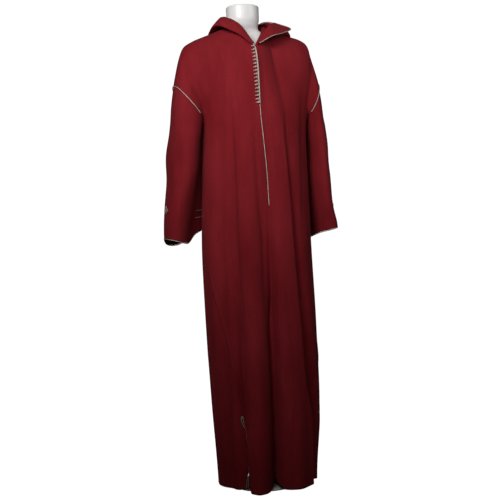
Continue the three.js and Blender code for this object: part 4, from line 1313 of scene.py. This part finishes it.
    def build(self) -> bpy.types.Object:
        """Makes the panel, open down the front from the neck to the last knot."""
        points = self.cloth
        gap = None
        if self.kind is PanelKind.FRONT:
            gap = np.zeros((points.shape[0] - 1, points.shape[1] - 1), bool)
            middle = self.columns // 2
            gap[:, middle] = points[:-1, middle, 2] > KNOTS_BOTTOM_Z - OPENING_FOOT
        else:
            points = points[:, ::-1]
        shape = wall(points, CLOTH, grid_normals(points), open_cells=gap)
        return shape.build(f"{self.kind.word}_cloth", RED_CLOTH, [self.kind.word])

    def line(self, z: Grid, aside: float) -> tuple[Grid, Grid]:
        """Points and normals beside the panel's middle line.

        Args:
            z: Heights of the middle line.
            aside: How far beside it, in millimetres, towards the wearer's left.

        Returns:
            Points on the cloth, and unit normals there.
        """
        middle = self.columns // 2
        heights = self.cloth[:, middle, 2]
        row = np.interp(z, heights, np.arange(len(heights)))
        right, left = middle - self.line_span, middle + self.line_span + 1
        span = np.linalg.norm(self.cloth[:, left] - self.cloth[:, right], axis=-1)
        span = np.interp(row, np.arange(len(span)), span) / (self.u[left] - self.u[right])
        column = np.interp(0.5 + aside / span, self.u, np.arange(len(self.u)))
        normals = grid_normals(self.cloth)
        return between_points(self.cloth, row, column), unit(between_points(normals, row, column))


@dataclass
class Sleeve:
    """A tapering sleeve, with the cords and braid that are sewn to it."""

    arm: Arm
    rows: int = 150
    columns: int = 144
    clear: float = 0.45
    cord: float = 1.5
    cord_lift: float = 0.35
    cord_reach: float = 132.0
    cord_clear: float = 0.2
    motif_top: float = 899.0
    motif_size: float = 22.0
    motif_cord: float = 1.1
    motif_corners: tuple[tuple[float, float], ...] = ((22, 0), (40, 0.75), (14, 1.25))
    motif_knot_cord: float = 0.8
    motif_knot_size: float = 2.6
    motif_knot_bend: float = 1.1
    bar_heights: tuple[float, float] = (884.0, 862.0)
    bar_turns: tuple[float, float] = (196.0, 228.0)
    bar_slant: float = 5.0
    bar_cord: float = 1.2
    bar_lift: float = 1.4
    stitch_height: float = 15.0

    def build_cloth(self) -> bpy.types.Object:
        """Makes the sleeve: rows from the cuff up to the armhole, round the arm."""
        turn = np.linspace(0, 360, self.columns, endpoint=False)
        if self.arm.side is Side.LEFT:
            turn = turn[::-1]
        share = np.linspace(0, 1, self.rows)[:, None]
        low = self.arm.cuff_z(turn)
        slope = np.abs(self.arm.armhole_z(turn + 2) - self.arm.armhole_z(turn - 2))
        high = self.arm.armhole_z(turn) - self.clear * (1 + 0.4 * slope)
        z = low + (high - low) * share
        points = self.arm.point(np.broadcast_to(turn, z.shape), z)
        shape = wall(points, CLOTH, grid_normals(points, wrap=True), wrap=True)
        name = f"sleeve_{self.arm.side.word}"
        return shape.build(f"{name}_cloth", RED_CLOTH, [name])

    def lifted(self, turn: Grid, z: Grid, lift: float) -> Grid:
        """Points off the sleeve by a lift along its normal."""
        return self.arm.point(turn, z) + self.arm.normal(turn, z) * lift

    def build_armhole_cord(self) -> bpy.types.Object:
        """Makes the cord over the armhole seam, which stops short of the underarm."""
        turn = np.linspace(-self.cord_reach, self.cord_reach, 160)
        path = self.lifted(turn, self.arm.armhole_z(turn), self.cord + self.cord_lift)
        return Cord(self.cord).build(f"armhole_cord_{self.arm.side.word}", path)

    def build_cuff_cord(self) -> bpy.types.Object:
        """Makes the cord round the edge of the cuff."""
        turn = np.linspace(0, 360, 200, endpoint=False)
        z = self.arm.cuff_z(turn)
        path = self.lifted(turn, z, -CLOTH / 2)
        path[:, 2] -= self.cord + self.cord_clear
        return Cord(self.cord).build(f"cuff_cord_{self.arm.side.word}", path, ring=True)

    def build_motif(self) -> bpy.types.Object:
        """Makes the triangle of thin braid above the cuff, with a small knot inside it.

        The knot is a three-lobed loop of radius size + bend cos 3t.
        """
        corners = np.array(self.motif_corners)
        corners[:, 1] = self.motif_top - corners[:, 1] * self.motif_size
        share = np.linspace(0, 3, 61)[:-1]
        turn, z = (np.interp(share, range(4), [*corners[:, k], corners[0, k]]) for k in range(2))
        border = self.lifted(turn, z, self.motif_cord + self.cord_clear)
        shape = Cord(self.motif_cord).shape(border, ring=True)
        centre = corners.mean(axis=0)
        curl = np.linspace(0, 2 * math.pi, 24, endpoint=False)
        swing = self.motif_knot_size + self.motif_knot_bend * np.cos(3 * curl)
        turns = centre[0] + 1.4 * swing * np.cos(curl)
        heights = centre[1] + swing * np.sin(curl)
        knot = Cord(self.motif_knot_cord).shape(self.lifted(turns, heights, 1.0), ring=True)
        shape = shape.joined(knot)
        name = f"cuff_motif_{self.arm.side.word}"
        return shape.build(f"{name}_silk", SILVER_CORD, [name])

    def build_bars(self) -> list[bpy.types.Object]:
        """Makes the two short bars of braid across the back of the sleeve."""
        pieces = []
        start, end = self.bar_turns
        share = np.linspace(0, 1, 40)
        for number, low in enumerate(self.bar_heights, start=1):
            turn, z = start + (end - start) * share, low + self.bar_slant * share
            path = self.lifted(turn, z, self.bar_lift)
            name = f"sleeve_bar_{self.arm.side.word}_{number}"
            pieces.append(Cord(self.bar_cord).build(name, path))
        return pieces

    def build_hem_stitches(self) -> bpy.types.Object:
        """Makes the row of hand stitches that holds the cuff's turned-up hem."""
        turn = np.linspace(0, 360, 500)
        z = self.arm.cuff_z(turn) + self.stitch_height
        path = self.arm.point(turn, z)
        normals = self.arm.normal(turn, z)
        return Stitches().build(f"cuff_stitches_{self.arm.side.word}", path, normals)


# ---------------------------------------------------------------- trim


@dataclass
class Cord:
    """Silk cord of two strands twisted together."""

    radius: float
    strands: int = 2
    pitch: float = 7.0
    groove: float = 0.15
    sides: int = 10
    step: float = 1.3

    def shape(self, path: Grid, ring: bool = False) -> Shape:
        """A tube of radius r (1 + groove (cos(strands (t - 2 pi s / pitch)) - 1)).

        Args:
            path: Points that it follows.
            ring: Whether it closes on itself.

        Returns:
            The cord, with s along it and t round it.
        """
        even = resampled(path, self.step, ring)
        pitch = self.pitch
        if ring:
            whole = self.step * len(even)
            pitch = whole / max(round(whole / self.pitch), 1)

        def radius(along: Grid, turn: Grid) -> Grid:
            """The cord's radius at a length along it and a turn round it."""
            twist = self.strands * (turn - 2 * math.pi * along / pitch)
            return self.radius * (1 + self.groove * (np.cos(twist) - 1))

        return tube(even, radius, self.sides, ring)

    def build(self, node: str, path: Grid, ring: bool = False) -> bpy.types.Object:
        """Makes a cord that stands for its node."""
        return self.shape(path, ring).build(f"{node}_silk", SILVER_CORD, [node])


@dataclass
class Stitches:
    """A row of small hand stitches: short loops of thread that sink in at both ends."""

    spacing: float = 6.0
    length: float = 2.6
    radius: float = 0.32
    arch: float = 1.6
    sunk: float = 0.5
    stations: int = 5
    sides: int = 5

    def build(self, name: str, path: Grid, normals: Grid) -> bpy.types.Object:
        """Makes the row.

        Each stitch is a thread whose middle is r (arch sin(pi s) - sunk) off the cloth.

        Args:
            name: Name of the object.
            path: Points of the cloth that the row follows.
            normals: Normals of the cloth there.

        Returns:
            The new object.
        """
        along = lengths(path)
        starts = np.arange(self.spacing, along[-1] - self.spacing, self.spacing)
        s = np.linspace(0, 1, self.stations)
        places = starts[:, None] + s[None, :] * self.length
        middle = read_along(places, along, path)
        out = unit(read_along(places, along, normals))
        run = unit(np.gradient(middle, axis=1))
        side = np.cross(run, out)
        height = self.radius * (self.arch * np.sin(math.pi * s) - self.sunk)
        middle = middle + out * height[None, :, None]
        turn = np.linspace(0, 2 * math.pi, self.sides, endpoint=False)
        spoke = np.cos(turn)[:, None] * out[:, :, None] + np.sin(turn)[:, None] * side[:, :, None]
        points = middle[:, :, None] + self.radius * spoke
        number = np.arange(points[..., 0].size).reshape(points.shape[:3])
        a, d = number[:, :-1], number[:, 1:]
        faces = quads(a, d, np.roll(d, -1, axis=2), np.roll(a, -1, axis=2)).tolist()
        faces += number[:, 0].tolist() + number[:, -1, ::-1].tolist()
        shape = Shape(points.reshape(-1, 3), [tuple(face) for face in faces])
        return shape.build(name, RED_CLOTH, [])


# ---------------------------------------------------------------- the hood

HOOD_STATIONS = (0, 0.12, 0.27, 0.4, 0.5, 0.6, 0.67, 0.73, 0.8, 0.88, 1)


@dataclass(frozen=True)
class Dent:
    """A soft crease across the hood's lines, at u, that slants by slant as v leaves level."""

    depth: float
    u: float
    slant: float
    level: float
    width: float
    v: float
    length: float

    def depth_at(self, u: Grid, v: Grid) -> Grid:
        """depth exp(-((u - slant (v - level) - place) / width)^2) exp(-((v - middle) / length)^2)."""
        across = bell(u - self.slant * (v - self.level), self.u, self.width)
        return self.depth * across * bell(v, self.v, self.length)


@dataclass
class Hood:
    """The hood, laid open on the shoulders: its lines run round the neck from the front.

    u goes round the neck: 0 and 1 are the front, a half is the middle of the back and 0
    to a half is the wearer's right.
    """

    lines: tuple[Table, ...] = field(default_factory=lambda: (
        # its seam at the neck
        Table(
            HOOD_STATIONS,
            x=(8, -27, -60, -36, 3, 42, 60, 66, 56, 42, 11),
            y=(-84, -56, 2, 54, 68, 54, 26, 2, -28, -56, -84),
            z=(1386, 1430, 1466, 1468, 1468, 1468, 1468, 1466, 1449, 1430, 1386),
        ),
        # the turn under itself
        Table(
            HOOD_STATIONS,
            x=(5, -37, -82, -72, 3, 80, 94, 104, 78, 50, 14),
            y=(-87, -64, 0, 98, 132, 98, 50, 14, -26, -61, -87),
            z=(1387, 1431, 1461, 1412, 1370, 1414, 1448, 1456, 1446, 1429, 1387),
        ),
        # the outer fold
        Table(
            HOOD_STATIONS,
            x=(0, -48, -107, -92, 3, 106, 142, 164, 108, 61, 18),
            y=(-91, -70, -4, 128, 158, 128, 74, 24, -22, -65, -91),
            z=(1388, 1431, 1455, 1330, 1196, 1334, 1414, 1440, 1437, 1427, 1388),
        ),
        # the top layer
        Table(
            HOOD_STATIONS,
            x=(-1, -44, -98, -94, 3, 108, 138, 150, 102, 60, 19),
            y=(-93, -72, -4, 142, 184, 142, 80, 22, -26, -67, -93),
            z=(1391, 1442, 1471, 1404, 1372, 1404, 1436, 1460, 1450, 1436, 1391),
        ),
        # the roll round the neck opening
        Table(
            HOOD_STATIONS,
            x=(4, -29, -71, -58, 3, 76, 94, 106, 88, 61, 18),
            y=(-92, -64, 2, 78, 104, 78, 34, 0, -42, -75, -95),
            z=(1393, 1457, 1496, 1484, 1478, 1480, 1472, 1478, 1467, 1447, 1395),
        ),
        # its open edge
        Table(
            HOOD_STATIONS,
            x=(8, -24, -64, -48, 3, 66, 96, 152, 106, 68, 19),
            y=(-90, -58, 2, 70, 92, 68, 26, -18, -68, -95, -98),
            z=(1393, 1453, 1489, 1477, 1472, 1487, 1487, 1458, 1431, 1417, 1391),
        ),
    ))
    dents: tuple[Dent, ...] = (
        Dent(8.5, 0.2, 0.10, 0.5, 0.018, 0.6, 0.16),
        Dent(7.0, 0.155, -0.12, 0.6, 0.015, 0.66, 0.14),
        Dent(4.0, 0.74, 0.0, 0.5, 0.03, 0.62, 0.14),
        Dent(6.0, 0.44, 0.3, 0.5, 0.03, 0.55, 0.2),
        Dent(7.0, 0.56, -0.2, 0.5, 0.035, 0.5, 0.2),
        Dent(4.0, 0.5, 0.0, 0.5, 0.02, 0.7, 0.2),
    )
    ripple: float = 1.5
    rows: int = 96
    columns: int = 300
    cord: float = 1.5
    cord_clear: float = 0.24
    cord_ends: int = 2
    cord_eases: int = 3
    edge_rows: int = 5

    def point(self, u: Grid, v: Grid) -> Grid:
        """A cubic across the hood at v, through the point at u of each of its lines.

        Args:
            u: Shares round the neck.
            v: Shares from the neck seam to the open edge, one column of them.

        Returns:
            Points of the inner face of the cloth.
        """
        stations = np.linspace(0, 1, len(self.lines))
        across = np.stack([np.stack([line.read(k, u) for k in "xyz"], -1) for line in self.lines])
        k = np.clip(np.searchsorted(stations, v, side="right") - 1, 0, len(stations) - 2)
        s = ((v - stations[k]) * (len(stations) - 1))[:, None, None]
        before, after = np.maximum(k - 1, 0), np.minimum(k + 2, len(stations) - 1)
        p, q = across[k], across[k + 1]
        span_p = (k + 1 - before)[:, None, None]
        span_q = (after - k)[:, None, None]
        m = (q - across[before]) / span_p
        n = (across[after] - p) / span_q
        start = (1 - s) ** 2 * ((1 + 2 * s) * p + s * m)
        return start + s * s * ((3 - 2 * s) * q + (s - 1) * n)

    def surface(self) -> Grid:
        """The grid of the hood, with its soft creases."""
        u = np.linspace(0, 1, self.columns + 1)
        v = np.linspace(0, 1, self.rows + 1)
        points = self.point(u, v)
        normals = grid_normals(points)
        across, along = np.meshgrid(u, v)
        loose = smooth(along, 0.3, 0.45) * (1 - smooth(along, 0.88, 1))
        loose *= smooth(across, 0.06, 0.16) * (1 - smooth(across, 0.86, 0.95))
        dents = sum((dent.depth_at(across, along) for dent in self.dents), np.zeros_like(across))
        waves = self.ripple * uneven(26 * across, 7 * along, 4.2)
        return points + normals * ((waves - dents) * loose)[..., None]

    def build(self) -> list[bpy.types.Object]:
        """Makes the hood and the cord along its open edge.

        The cord's middle is p + n t/2 + e (r + clear), where e runs off the edge in line
        with the cloth, so that it lies beside the edge.

        Returns:
            The cloth and the cord.
        """
        inner = self.surface()
        normals = grid_normals(inner)
        shape = wall(inner + normals * CLOTH, CLOTH, normals)
        cloth = shape.build("hood_cloth", RED_CLOTH, ["hood"])
        edge = inner[-1]
        along = unit(np.gradient(edge, axis=0))
        beyond = edge - inner[-1 - self.edge_rows]
        beyond -= along * np.sum(beyond * along, axis=1, keepdims=True)
        beyond = unit(beyond)
        path = edge + normals[-1] * CLOTH / 2 + beyond * (self.cord + self.cord_clear)
        path = path[self.cord_ends:-self.cord_ends]
        for _ in range(self.cord_eases):
            path[1:-1] = (path[:-2] + 2 * path[1:-1] + path[2:]) / 4
        cord = Cord(self.cord).build("hood_cord", path)
        return [cloth, cord]


# ---------------------------------------------------------------- the front opening


@dataclass
class Placket:
    """The braid and the knotted buttons down the front opening, and the cord below them."""

    front: Panel
    width: float = 4.2
    thickness: float = 1.2
    lift: float = 0.3
    plait: float = 4.4
    bed: float = 1.0
    knot: float = 2.9
    knot_length: float = 1.12
    knot_waves: float = 0.13
    knot_rings: int = 10
    knot_sides: int = 20
    knot_clear: tuple[float, float] = (0.2, 0.5)
    loop_cord: float = 0.85
    loop_gap: float = 1.15
    cord: float = 1.4
    cord_clear: float = 0.25

    def build_braid(self) -> bpy.types.Object:
        """Makes the braid, with a plaited ridge along its middle and one along each side.

        Its height is t (0.35 + c (0.7 + 0.5 |sin(pi (z / p + 0.9 |x|))|)), where the crown
        c is sqrt(1 - x^2) (0.65 + 0.35 cos(4 pi x)^2) and x goes from -1 to 1 across it.
        """
        z = np.linspace(KNOTS_BOTTOM_Z - BRAID_END, KNOTS_TOP_Z + BRAID_END, 240)
        across = np.linspace(-1, 1, 13)
        bases, heights = [], []
        for share in across:
            point, normal = self.front.line(z, share * self.width / 2)
            plait = np.abs(np.sin(math.pi * (z / self.plait + 0.9 * abs(share))))
            ridges = 0.65 + 0.35 * math.cos(4 * math.pi * share) ** 2
            crown = math.sqrt(max(1 - share**2, 0)) * ridges
            height = self.thickness * (0.35 + crown * (0.7 + 0.5 * plait))
            bases.append(point + normal * self.lift)
            heights.append(normal * height[:, None])
        rise = np.stack(heights, axis=1)
        shape = wall(np.stack(bases, axis=1) + rise, self.bed, rise)
        return shape.build("placket_braid_silk", SILVER_CORD, ["placket_braid"])

    def knot_shape(self, centre: Grid, normal: Grid, run: Grid) -> Shape:
        """A knotted ball, r (1 + waves cos(3 t + 2 p) cos(2 t - 3 p)), and its loop.

        The loop's two strands run back from the ball by (1 - cos s) / 2 of their reach.

        Args:
            centre: Middle of the ball.
            normal: Out of the cloth.
            run: Down the opening.

        Returns:
            The ball and the two strands of the loop behind it.
        """
        side = unit(np.cross(normal, run))
        t = np.linspace(0, 2 * math.pi, self.knot_sides, endpoint=False)
        p = np.linspace(0, math.pi, self.knot_rings + 2)[1:-1]
        turn, tilt = np.meshgrid(t, p)
        bumps = np.cos(3 * turn + 2 * tilt) * np.cos(2 * turn - 3 * tilt)
        r = self.knot * (1 + self.knot_waves * bumps)
        ring = r * np.sin(tilt)
        local = np.stack([self.knot_length * r * np.cos(tilt), ring * np.cos(turn), ring * np.sin(turn)])
        ball = centre + np.einsum("kij,kc->ijc", local, np.stack([side, run, normal]))
        pole = side * self.knot * self.knot_length
        shape = ringed(ball, np.stack([centre + pole, centre - pole]), backwards=True)
        reach = np.linspace(0, math.pi, 24)
        sway = np.sin(reach)[:, None]
        back = (1 - np.cos(reach))[:, None] / 2
        for lane in (-1, 1):
            path = centre - side * (self.knot * 0.7) - side * (self.knot * 1.9) * back
            path = path + run * lane * self.loop_gap * (1 - 0.5 * back)
            path = path - normal * (self.knot * 0.35) * (1 - 0.6 * sway)
            shape = shape.joined(Cord(self.loop_cord, step=0.8, sides=8, pitch=3.0).shape(path))
        return shape

    def build_knots(self) -> list[bpy.types.Object]:
        """Makes the knots, evenly spaced on the wearer's right of the opening."""
        beside, off_cloth = self.knot_clear
        z = np.linspace(KNOTS_TOP_Z - FIRST_KNOT_DROP, KNOTS_BOTTOM_Z, KNOTS)
        aside = -self.width / 2 - self.knot - beside
        point, normal = self.front.line(z, aside)
        above, _ = self.front.line(z + 2, aside)
        pieces = []
        for k in range(KNOTS):
            centre = point[k] + normal[k] * (self.knot + off_cloth)
            shape = self.knot_shape(centre, normal[k], unit(point[k] - above[k]))
            name = f"knot_{k + 1:02d}"
            pieces.append(shape.build(f"{name}_silk", SILVER_CORD, [name]))
        return pieces

    def build_cord(self) -> bpy.types.Object:
        """Makes the thin cord over the front seam, from the last knot down."""
        z = np.linspace(KNOTS_BOTTOM_Z - FRONT_CORD_DROP, FRONT_CORD_BOTTOM_Z, 260)
        point, normal = self.front.line(z, 0.0)
        path = point + normal * (self.cord + self.cord_clear)
        return Cord(self.cord).build("front_cord", path)


@dataclass
class SideSlit:
    """The cord up one edge of a side slit, round its top and down the other edge."""

    front: Panel
    back: Panel
    arm_side: Side
    cord: float = 1.2
    cord_clear: float = 0.2
    foot_row: int = 1
    hidden_below: tuple[float, float] = (205.0, 225.0)

    def edge(self, panel: Panel) -> Grid:
        """Points of the cord up one panel's edge of the slit.

        It lies beside the edge, and where the front stands off, under the front's edge.

        Args:
            panel: The front or the back.

        Returns:
            Rows of points from the foot to the top.
        """
        rows = slice(self.foot_row, SLIT_ROWS - 1)
        sign = panel.kind.value
        first, second = (0, 1) if self.arm_side is Side.RIGHT else (-1, -2)
        edge = panel.cloth[rows, first]
        out = sign * grid_normals(panel.cloth)[rows, first]
        inward = unit(panel.cloth[rows, second] - edge)
        hidden = 0.0
        if panel.kind is PanelKind.FRONT:
            hidden = 1 - smooth(edge[:, 2:], *self.hidden_below)
        beside = -inward * self.cord - out * CLOTH / 2
        under = inward * self.cord - out * (CLOTH + self.cord + self.cord_clear)
        return edge + beside + (under - beside) * hidden

    def build(self) -> bpy.types.Object:
        """Makes the cord."""
        path = np.vstack([self.edge(self.back), self.edge(self.front)[::-1]])
        return Cord(self.cord).build(f"slit_cord_{self.arm_side.word}", path)


# ---------------------------------------------------------------- the dress form


@dataclass
class DressForm:
    """The plain form: a smooth torso with a neck, on a pole and a round base."""

    sections: Table = field(default_factory=lambda: Table(
        (762, 790, 900, 1050, 1180, 1290, 1350, 1390, 1410, 1426, 1440, 1452, 1464, 1484, 1524),
        a=(120, 136, 140, 118, 130, 144, 148, 146, 136, 114, 76, 52, 48, 52, 53),
        b=(88, 96, 102, 90, 96, 88, 68, 46, 34, 27, 25, 29, 38, 46, 48),
    ))
    centre: tuple[float, float] = (1.0, 2.0)
    top_round: float = 4.0
    pole_radius: float = 15.0
    pole_edge: float = 1.2
    base_radius: float = 104.0
    base_height: float = 8.0
    base_edge: float = 2.0
    rows: int = 190
    sides: int = 128
    post_sides: int = 96

    def spun(self, z: Grid, a: Grid, b: Grid, centre: Sequence[float], sides: int) -> Shape:
        """A closed body of ellipses: (cx + a cos t, cy + b sin t, z), capped at both ends.

        Args:
            z: Heights, rising.
            a: Half widths.
            b: Half depths.
            centre: x and y of the axis.
            sides: Points round each ellipse.

        Returns:
            The body.
        """
        t = np.linspace(0, 2 * math.pi, sides, endpoint=False)[None, :]
        x = centre[0] + a[:, None] * np.cos(t)
        y = centre[1] + b[:, None] * np.sin(t)
        rings = np.stack([x, y, np.broadcast_to(z[:, None], x.shape)], -1)
        return ringed(rings, np.array([[*centre, z[0]], [*centre, z[-1]]]))

    def rounded(self, low: float, high: float, radius: float, edge: float) -> Shape:
        """A round post with quarter-round edges, on the axis.

        Args:
            low: Height of its foot.
            high: Height of its top.
            radius: Its radius.
            edge: Radius of its edges.

        Returns:
            The post.
        """
        turn = np.linspace(0, math.pi / 2, 7)
        foot_z = low + edge * (1 - np.cos(turn))
        foot_r = radius - edge * (1 - np.sin(turn))
        z = np.concatenate([foot_z, (low + high) - foot_z[::-1]])
        r = np.concatenate([foot_r, foot_r[::-1]])
        return self.spun(z, r, r, (0.0, 0.0), self.post_sides)

    def build(self) -> list[bpy.types.Object]:
        """Makes the torso, whose top edge is a quarter round, the pole and the base."""
        low, high = self.sections.key[0], self.sections.key[-1]
        z = np.linspace(low, high, self.rows)
        a, b = self.sections.read("a", z), self.sections.read("b", z)
        turn = np.linspace(0, math.pi / 2, 9)[1:]
        drop = self.top_round * (1 - np.cos(turn))
        z = np.concatenate([z, high + self.top_round * np.sin(turn)])
        a = np.concatenate([a, a[-1] - drop])
        b = np.concatenate([b, b[-1] - drop])
        torso = self.spun(z, a, b, self.centre, self.sides)
        foot, top = self.base_height + SEAM_GAP, low - SEAM_GAP
        pole = self.rounded(foot, top, self.pole_radius, self.pole_edge)
        base = self.rounded(0.0, self.base_height, self.base_radius, self.base_edge)
        return [
            torso.build("form_torso_shell", FORM_SHELL, ["form_torso"]),
            pole.build("form_pole_tube", FORM_METAL, ["form_pole"]),
            base.build("form_base_plate", FORM_METAL, ["form_base"]),
        ]


# ---------------------------------------------------------------- light and view


@dataclass(frozen=True)
class Lamp:
    """A soft square light: its place and side in metres, its power in watts, its beam in degrees."""

    name: str
    place: tuple[float, float, float]
    size: float
    power: float
    spread: float

    def build(self, target: Sequence[float]) -> None:
        """Adds the light.

        Args:
            target: What it faces, in metres.
        """
        data = bpy.data.lights.new(self.name, "AREA")
        data.shape = "SQUARE"
        data.size = self.size
        data.energy = self.power
        data.spread = math.radians(self.spread)
        light = bpy.data.objects.new(self.name, data)
        back = np.array(self.place) - np.array(target)
        back = back / np.linalg.norm(back)
        right = unit(np.cross((0, 0, 1), back))
        up = np.cross(back, right)
        matrix = np.eye(4)
        matrix[:3, :3] = np.stack([right, up, back], axis=1)
        matrix[:3, 3] = self.place
        light.matrix_world = Matrix(matrix.tolist())
        light.visible_camera = False
        bpy.context.scene.collection.objects.link(light)


@dataclass
class Studio:
    """A pale floor and sweep, soft light from above the front, and the camera, in metres."""

    camera_place: tuple[float, float, float] = (-0.8413, -2.8797, 0.75)
    turn: float = -16.0
    roll: float = -3.0
    focal_pixels: float = 936.0
    frame_pixels: float = 500.0
    view_depth: float = 60.0
    lamps: tuple[Lamp, ...] = (
        Lamp("key", (-0.8, -1.15, 1.72), 0.55, 4.3, 92),
        Lamp("left_fill", (1.25, -1.0, 1.85), 0.7, 1.35, 90),
        Lamp("front_fill", (-0.35, -1.9, 1.55), 0.9, 1.15, 72),
    )
    lamp_target: tuple[float, float, float] = (0.0, 0.0, 1.2)
    surround: float = 0.03
    sweep_side: float = 7.0
    sweep_front: float = 6.0
    sweep_back: float = 3.0
    sweep_radius: float = 1.5
    sweep_top: float = 6.0
    sweep_drop: float = 0.0005
    paper: float = 0.9

    def build(self) -> None:
        """Sets up the stage, the lights and the camera."""
        self.build_sweep()
        self.build_lights()
        self.build_camera()

    def build_sweep(self) -> None:
        """Makes the floor, which rises behind as a quarter round, y = back + r sin t."""
        turn = np.linspace(0, math.pi / 2, 24)
        back, radius = self.sweep_back, self.sweep_radius
        y = np.concatenate([[-self.sweep_front], back + radius * np.sin(turn), [back + radius]])
        z = np.concatenate([[0.0], radius * (1 - np.cos(turn)), [self.sweep_top]])
        x, y = np.meshgrid([-self.sweep_side, self.sweep_side], y)
        points = np.stack([x, y, np.broadcast_to(z[:, None] - self.sweep_drop, x.shape)], -1)
        number = np.arange(x.size).reshape(x.shape)
        left, right = number[:, 0], number[:, 1]
        faces = quads(left[:-1], right[:-1], right[1:], left[1:])
        mesh = bpy.data.meshes.new("studio_sweep")
        mesh.from_pydata(points.reshape(-1, 3).tolist(), [], faces.tolist())
        mesh.polygons.foreach_set("use_smooth", np.ones(len(faces), dtype=bool))
        material = bpy.data.materials.new("pale_paper")
        board = NodeBoard(material)
        board.put("Base Color", (self.paper, self.paper, self.paper, 1))
        board.put("Roughness", 0.9)
        board.put("Emission Color", (1, 1, 1, 1))
        board.put("Emission Strength", 1.0)
        mesh.materials.append(material)
        sweep = bpy.data.objects.new("studio_sweep", mesh)
        sweep.visible_diffuse = False
        sweep.visible_glossy = False
        bpy.context.scene.collection.objects.link(sweep)
        sweep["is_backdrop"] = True

    def build_lights(self) -> None:
        """Key light from the wearer's right, two weaker ones, and a dim even surround."""
        for lamp in self.lamps:
            lamp.build(self.lamp_target)
        world = bpy.data.worlds.new("surround")
        world.use_nodes = True
        background = world.node_tree.nodes["Background"]
        background.inputs["Color"].default_value = (1, 1, 1, 1)
        background.inputs["Strength"].default_value = self.surround
        bpy.context.scene.world = world
        bpy.context.scene.view_settings.view_transform = "Standard"

    def build_camera(self) -> None:
        """Adds the camera: level, turned towards the garment and rolled a little."""
        data = bpy.data.cameras.new("view")
        data.sensor_fit = "HORIZONTAL"
        data.angle = 2 * math.atan(self.frame_pixels / 2 / self.focal_pixels)
        data.clip_end = self.view_depth
        camera = bpy.data.objects.new("view", data)
        place = Matrix.Translation(self.camera_place)
        level = Matrix.Rotation(math.pi / 2, 4, "X")
        turn = Matrix.Rotation(math.radians(self.turn), 4, "Z")
        roll = Matrix.Rotation(math.radians(self.roll), 4, "Z")
        camera.matrix_world = place @ (turn @ level) @ roll
        bpy.context.scene.collection.objects.link(camera)
        bpy.context.scene.camera = camera


# ---------------------------------------------------------------- the whole


def build_kaftan() -> None:
    """Makes every piece of the garment."""
    drape = Drape()
    front = Panel(
        PanelKind.FRONT, drape, 232, (9, -84, 1384), (0.42, 0.56, 0.4), 34, (15, 11),
        (
            YokeCrease((0, 0.25, 0.5, 0.8), (0.235, 0.235, 0.225, 0.2), (2, 4, 3, 0), 0.045),
            YokeCrease((0, 0.2, 0.45), (0.29, 0.3, 0.31), (1.5, 1.5, 0), 0.02),
            YokeCrease((0, 0.2, 0.4), (0.626, 0.62, 0.61), (1.5, 1.5, 0), 0.025),
            YokeCrease((0, 0.25, 0.55), (0.81, 0.8, 0.79), (1.5, 2.5, 0), 0.03),
        ),
    )
    back = Panel(
        PanelKind.BACK, drape, 204, (3, 64, 1464), (0.5, 0.84, 0.5), 36, (11, 11),
        (
            YokeCrease((0, 0.3, 0.6), (0.3, 0.31, 0.33), (3, 4, 0), 0.03),
            YokeCrease((0, 0.25, 0.5), (0.5, 0.49, 0.5), (4, 3, 0), 0.03),
            YokeCrease((0, 0.3, 0.65), (0.69, 0.7, 0.68), (3, 4, 0), 0.035),
        ),
    )
    front_cloth = front.build()
    back_cloth = back.build()
    for arm, area in zip(ARMS, SLEEVE_AREAS):
        sleeve = Sleeve(arm)
        cloth = sleeve.build_cloth()
        sleeve.build_armhole_cord()
        sleeve.build_cuff_cord()
        sleeve.build_motif()
        sleeve.build_bars()
        sleeve.build_hem_stitches()
        SideSlit(front, back, arm.side).build()
    hood_cloth, _ = Hood().build()
    placket = Placket(front)
    placket.build_braid()
    placket.build_knots()
    placket.build_cord()


def write_sizes() -> None:
    """Works out the box of the frame and the box of the finished looks, in metres, as plain lists."""
    boxes = {"cad": CAD_BOX, "visual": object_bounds()}
    plain = {name: [[float(x) for x in corner] for corner in box] for name, box in boxes.items()}


def main() -> None:
    """Builds the form, the garment and the studio in order."""
    logging.basicConfig(level=logging.INFO, format="%(message)s")
    Studio().build()
    DressForm().build()
    build_kaftan()
    write_sizes()


if __name__ == "__main__":
    main()
